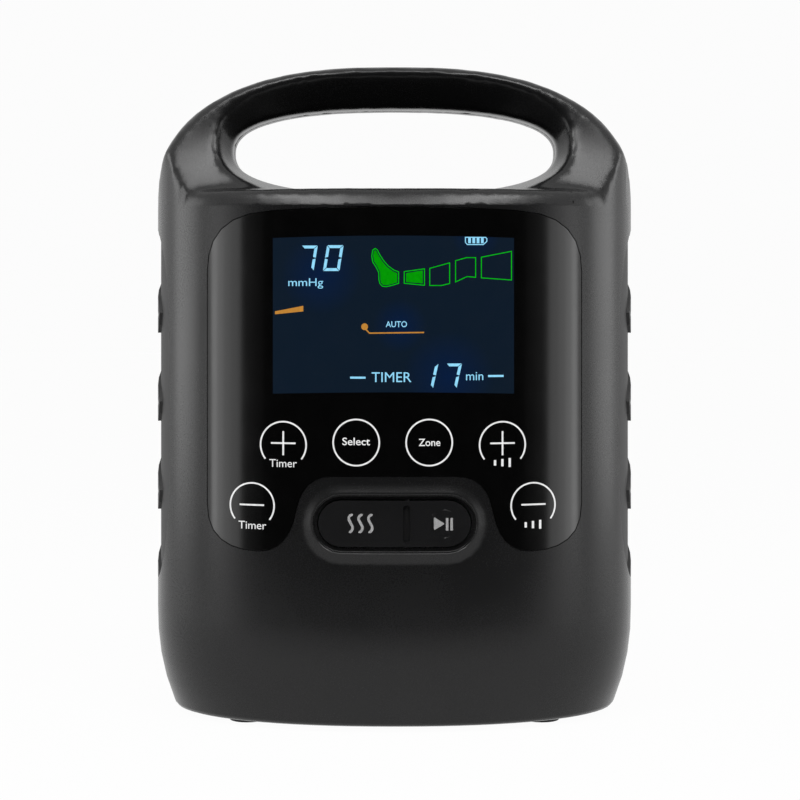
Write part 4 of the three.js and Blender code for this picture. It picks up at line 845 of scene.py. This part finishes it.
def heat_curl(x, z):
    """One curl of the heat mark: a line of one width along a wavy path, with round ends."""
    left, right = [], []
    for at, (px, pz) in enumerate(HEAT_PATH):
        before = HEAT_PATH[max(at - 1, 0)]
        after = HEAT_PATH[min(at + 1, len(HEAT_PATH) - 1)]
        run_x, run_z = after[0] - before[0], after[1] - before[1]
        size = math.hypot(run_x, run_z)
        side_x, side_z = -run_z / size * HEAT_HALF, run_x / size * HEAT_HALF
        left.append((x + px + side_x, z + pz + side_z))
        right.append((x + px - side_x, z + pz - side_z))
    first, last = HEAT_PATH[0], HEAT_PATH[-1]
    tip = (x + first[0] + HEAT_HALF, z + first[1] + HEAT_TIP)
    tail = (x + last[0] - HEAT_HALF, z + last[1] - HEAT_TIP)
    return outlined([tip, *right, tail, *reversed(left)])


HEAT_X, HEAT_Z, HEAT_STEP = -16.1, 78.2, 3.62
START_MARK = [(14.5, 80.0), (14.8, 80.3), (18.1, 78.3), (18.3, 78.0)]
START_MARK += [(18.1, 77.7), (14.8, 75.7), (14.5, 76.0)]
printed = [heat_curl(HEAT_X + HEAT_STEP * curl, HEAT_Z) for curl in range(3)]
printed += [outlined(START_MARK), bar(19.4, 77.8, 0.95, 4.6), bar(21.05, 77.8, 0.95, 4.6)]
ink, shader, wire = finish_of("light_grey_ink")
worn = noise(wire, in_object_space(wire), 1800.0, 4.0)
join(
    shader,
    Base_Color=ramp(wire, 0.3, (0.40,) * 3, 0.7, (0.52,) * 3, worn),
    Roughness=worn * 0.2 + 0.4,
    Normal=bumped(wire, worn, 0.000008, 0.5),
)
film("rocker_key_marks", printed, ink, "rocker_key", face_of("rocker_key"))

# Side grips
# Soft rubber pads pressed into pockets in both flanks. Their wavy ribs stand up from a dull,
# finely pitted ground.
grip_rubber = moulded("pitted_grip_rubber", (0.017, 0.017, 0.0175), 0.62, 1500.0, 0.00004)
skin("left_grip_skin", "left_grip", grip_rubber, soften=0.0003, bowed_below=1.0)
skin("right_grip_skin", "right_grip", grip_rubber, soften=0.0003, bowed_below=1.0)

# Feet
# Four round rubber feet pressed into the bottom of the shells.
foot_rubber = moulded("dull_foot_rubber", (0.02, 0.02, 0.02), 0.75, 1200.0, 0.00005)
for place in ("front_left", "front_right", "rear_left", "rear_right"):
    skin(f"foot_{place}_skin", f"foot_{place}", foot_rubber, soften=0.0004)

# Shell screws
# Six self-tapping pan head screws of zinc plated steel, deep in wells of the rear shell.
screw_steel, shader, wire = finish_of("zinc_plated_steel", Metallic=1.0)
cloud = noise(wire, in_object_space(wire), 900.0, 4.0)
join(
    shader,
    Base_Color=ramp(wire, 0.3, (0.36, 0.37, 0.38), 0.7, (0.55, 0.55, 0.54), cloud),
    Roughness=cloud * 0.25 + 0.2,
    Normal=bumped(wire, cloud, 0.00001, 0.4),
)
for number in range(1, 7):
    screw = f"shell_screw_{number}"
    skin(screw + "_skin", screw, screw_steel, soften=0.00012)

# Hose sockets, adaptor inlet and power switch
# Small mouldings clipped into the rear wall: two sockets with four air ways each, the round
# inlet for the adaptor's plug, and a rocker switch in its frame.
part_plastic = moulded("black_part_plastic", (0.014, 0.014, 0.014), 0.38, 2600.0, 0.000015)
for fitting in ("hose_socket_left", "hose_socket_right", "adaptor_inlet", "power_switch"):
    skin(fitting + "_skin", fitting, part_plastic, soften=0.00025)
skin("power_rocker_skin", "power_rocker", part_plastic, soften=0.0003)

# Inner parts
# They sit on posts inside the shells: screen module and board behind the panel, battery in
# its tray, the pump with its crank, the valve block, tubes, fan and supply board.


def dress(material, *names):
    """Gives CAD nodes that stay as they are their finish."""
    for name in names:
        cad[name].data.materials.clear()
        cad[name].data.materials.append(material)


def streaked(name, dark, pale, rough, stretch):
    """Turned or rolled metal: fine streaks along one direction, in colour and in gloss."""
    material, shader, wire = finish_of(name, Metallic=1.0)
    drawn = wire.node("ShaderNodeMapping", None, {0: in_object_space(wire), 3: stretch})
    streaks = noise(wire, drawn, 900.0, 3.0)
    tint = ramp(wire, 0.3, dark, 0.7, pale, streaks)
    bump = bumped(wire, streaks, 0.00001, 0.5)
    join(shader, Base_Color=tint, Roughness=streaks * 0.2 + rough, Normal=bump)
    return material


ALONG_X = (0.1, 1.0, 1.0)
ALONG_Z = (1.0, 1.0, 0.1)
rolled_steel = streaked("rolled_motor_steel", (0.38, 0.38, 0.39), (0.55, 0.55, 0.55), 0.25, ALONG_X)
dress(rolled_steel, "pump_motor", "pump_shaft")
dress(screw_steel, *[f"board_screw_{number}" for number in range(1, 5)])
ground_steel = streaked("ground_pin_steel", (0.45, 0.45, 0.45), (0.66, 0.66, 0.66), 0.15, ALONG_Z)
dress(ground_steel, "key_pin", *[f"valve_plunger_{number}" for number in range(1, 5)])
dress(part_plastic, "fan_frame", "fan_rotor", "battery_tray", "buzzer")
dress(part_plastic, "key_switch_left", "key_switch_right")

laminate, shader, wire = finish_of("green_board_laminate", Coat_Weight=0.3)
place = in_object_space(wire)
weave = wire.node("ShaderNodeTexChecker", None, {"Vector": place, "Scale": 900.0}, output=1)
cloud = noise(wire, place, 80.0, 4.0)
both = cloud * 0.8 + weave * 0.2
join(
    shader,
    Base_Color=ramp(wire, 0.2, (0.006, 0.05, 0.02), 0.8, (0.016, 0.13, 0.05), both),
    Roughness=cloud * 0.2 + 0.25,
    Normal=bumped(wire, weave, 0.00001, 0.3),
)
dress(laminate, "control_board", "supply_board")

screen_glass = moulded("screen_module_glass", (0.008, 0.02, 0.035), 0.12, 900.0, 0.000004)
dress(screen_glass, "display_module")
battery_sleeve = moulded("blue_battery_sleeve", (0.03, 0.11, 0.33), 0.3, 500.0, 0.00004)
dress(battery_sleeve, "battery_pack")
pump_plastic = moulded("glass_filled_pump_plastic", (0.06, 0.06, 0.064), 0.55, 700.0, 0.00004)
dress(pump_plastic, "pump_crankcase", "crankcase_cover", "pump_head")
dress(pump_plastic, "crankcase_mount", "motor_mount")
valve_plastic = moulded("natural_valve_plastic", (0.6, 0.6, 0.55), 0.45, 1200.0, 0.00002)
dress(valve_plastic, "valve_block", "pressure_sensor")
dress(valve_plastic, *[f"valve_{number}" for number in range(1, 5)])
tube_plastic = moulded("milky_tube_silicone", (0.5, 0.53, 0.55), 0.5, 900.0, 0.00003)
dress(tube_plastic, "outlet_tube_left", "outlet_tube_right", "feed_tube")
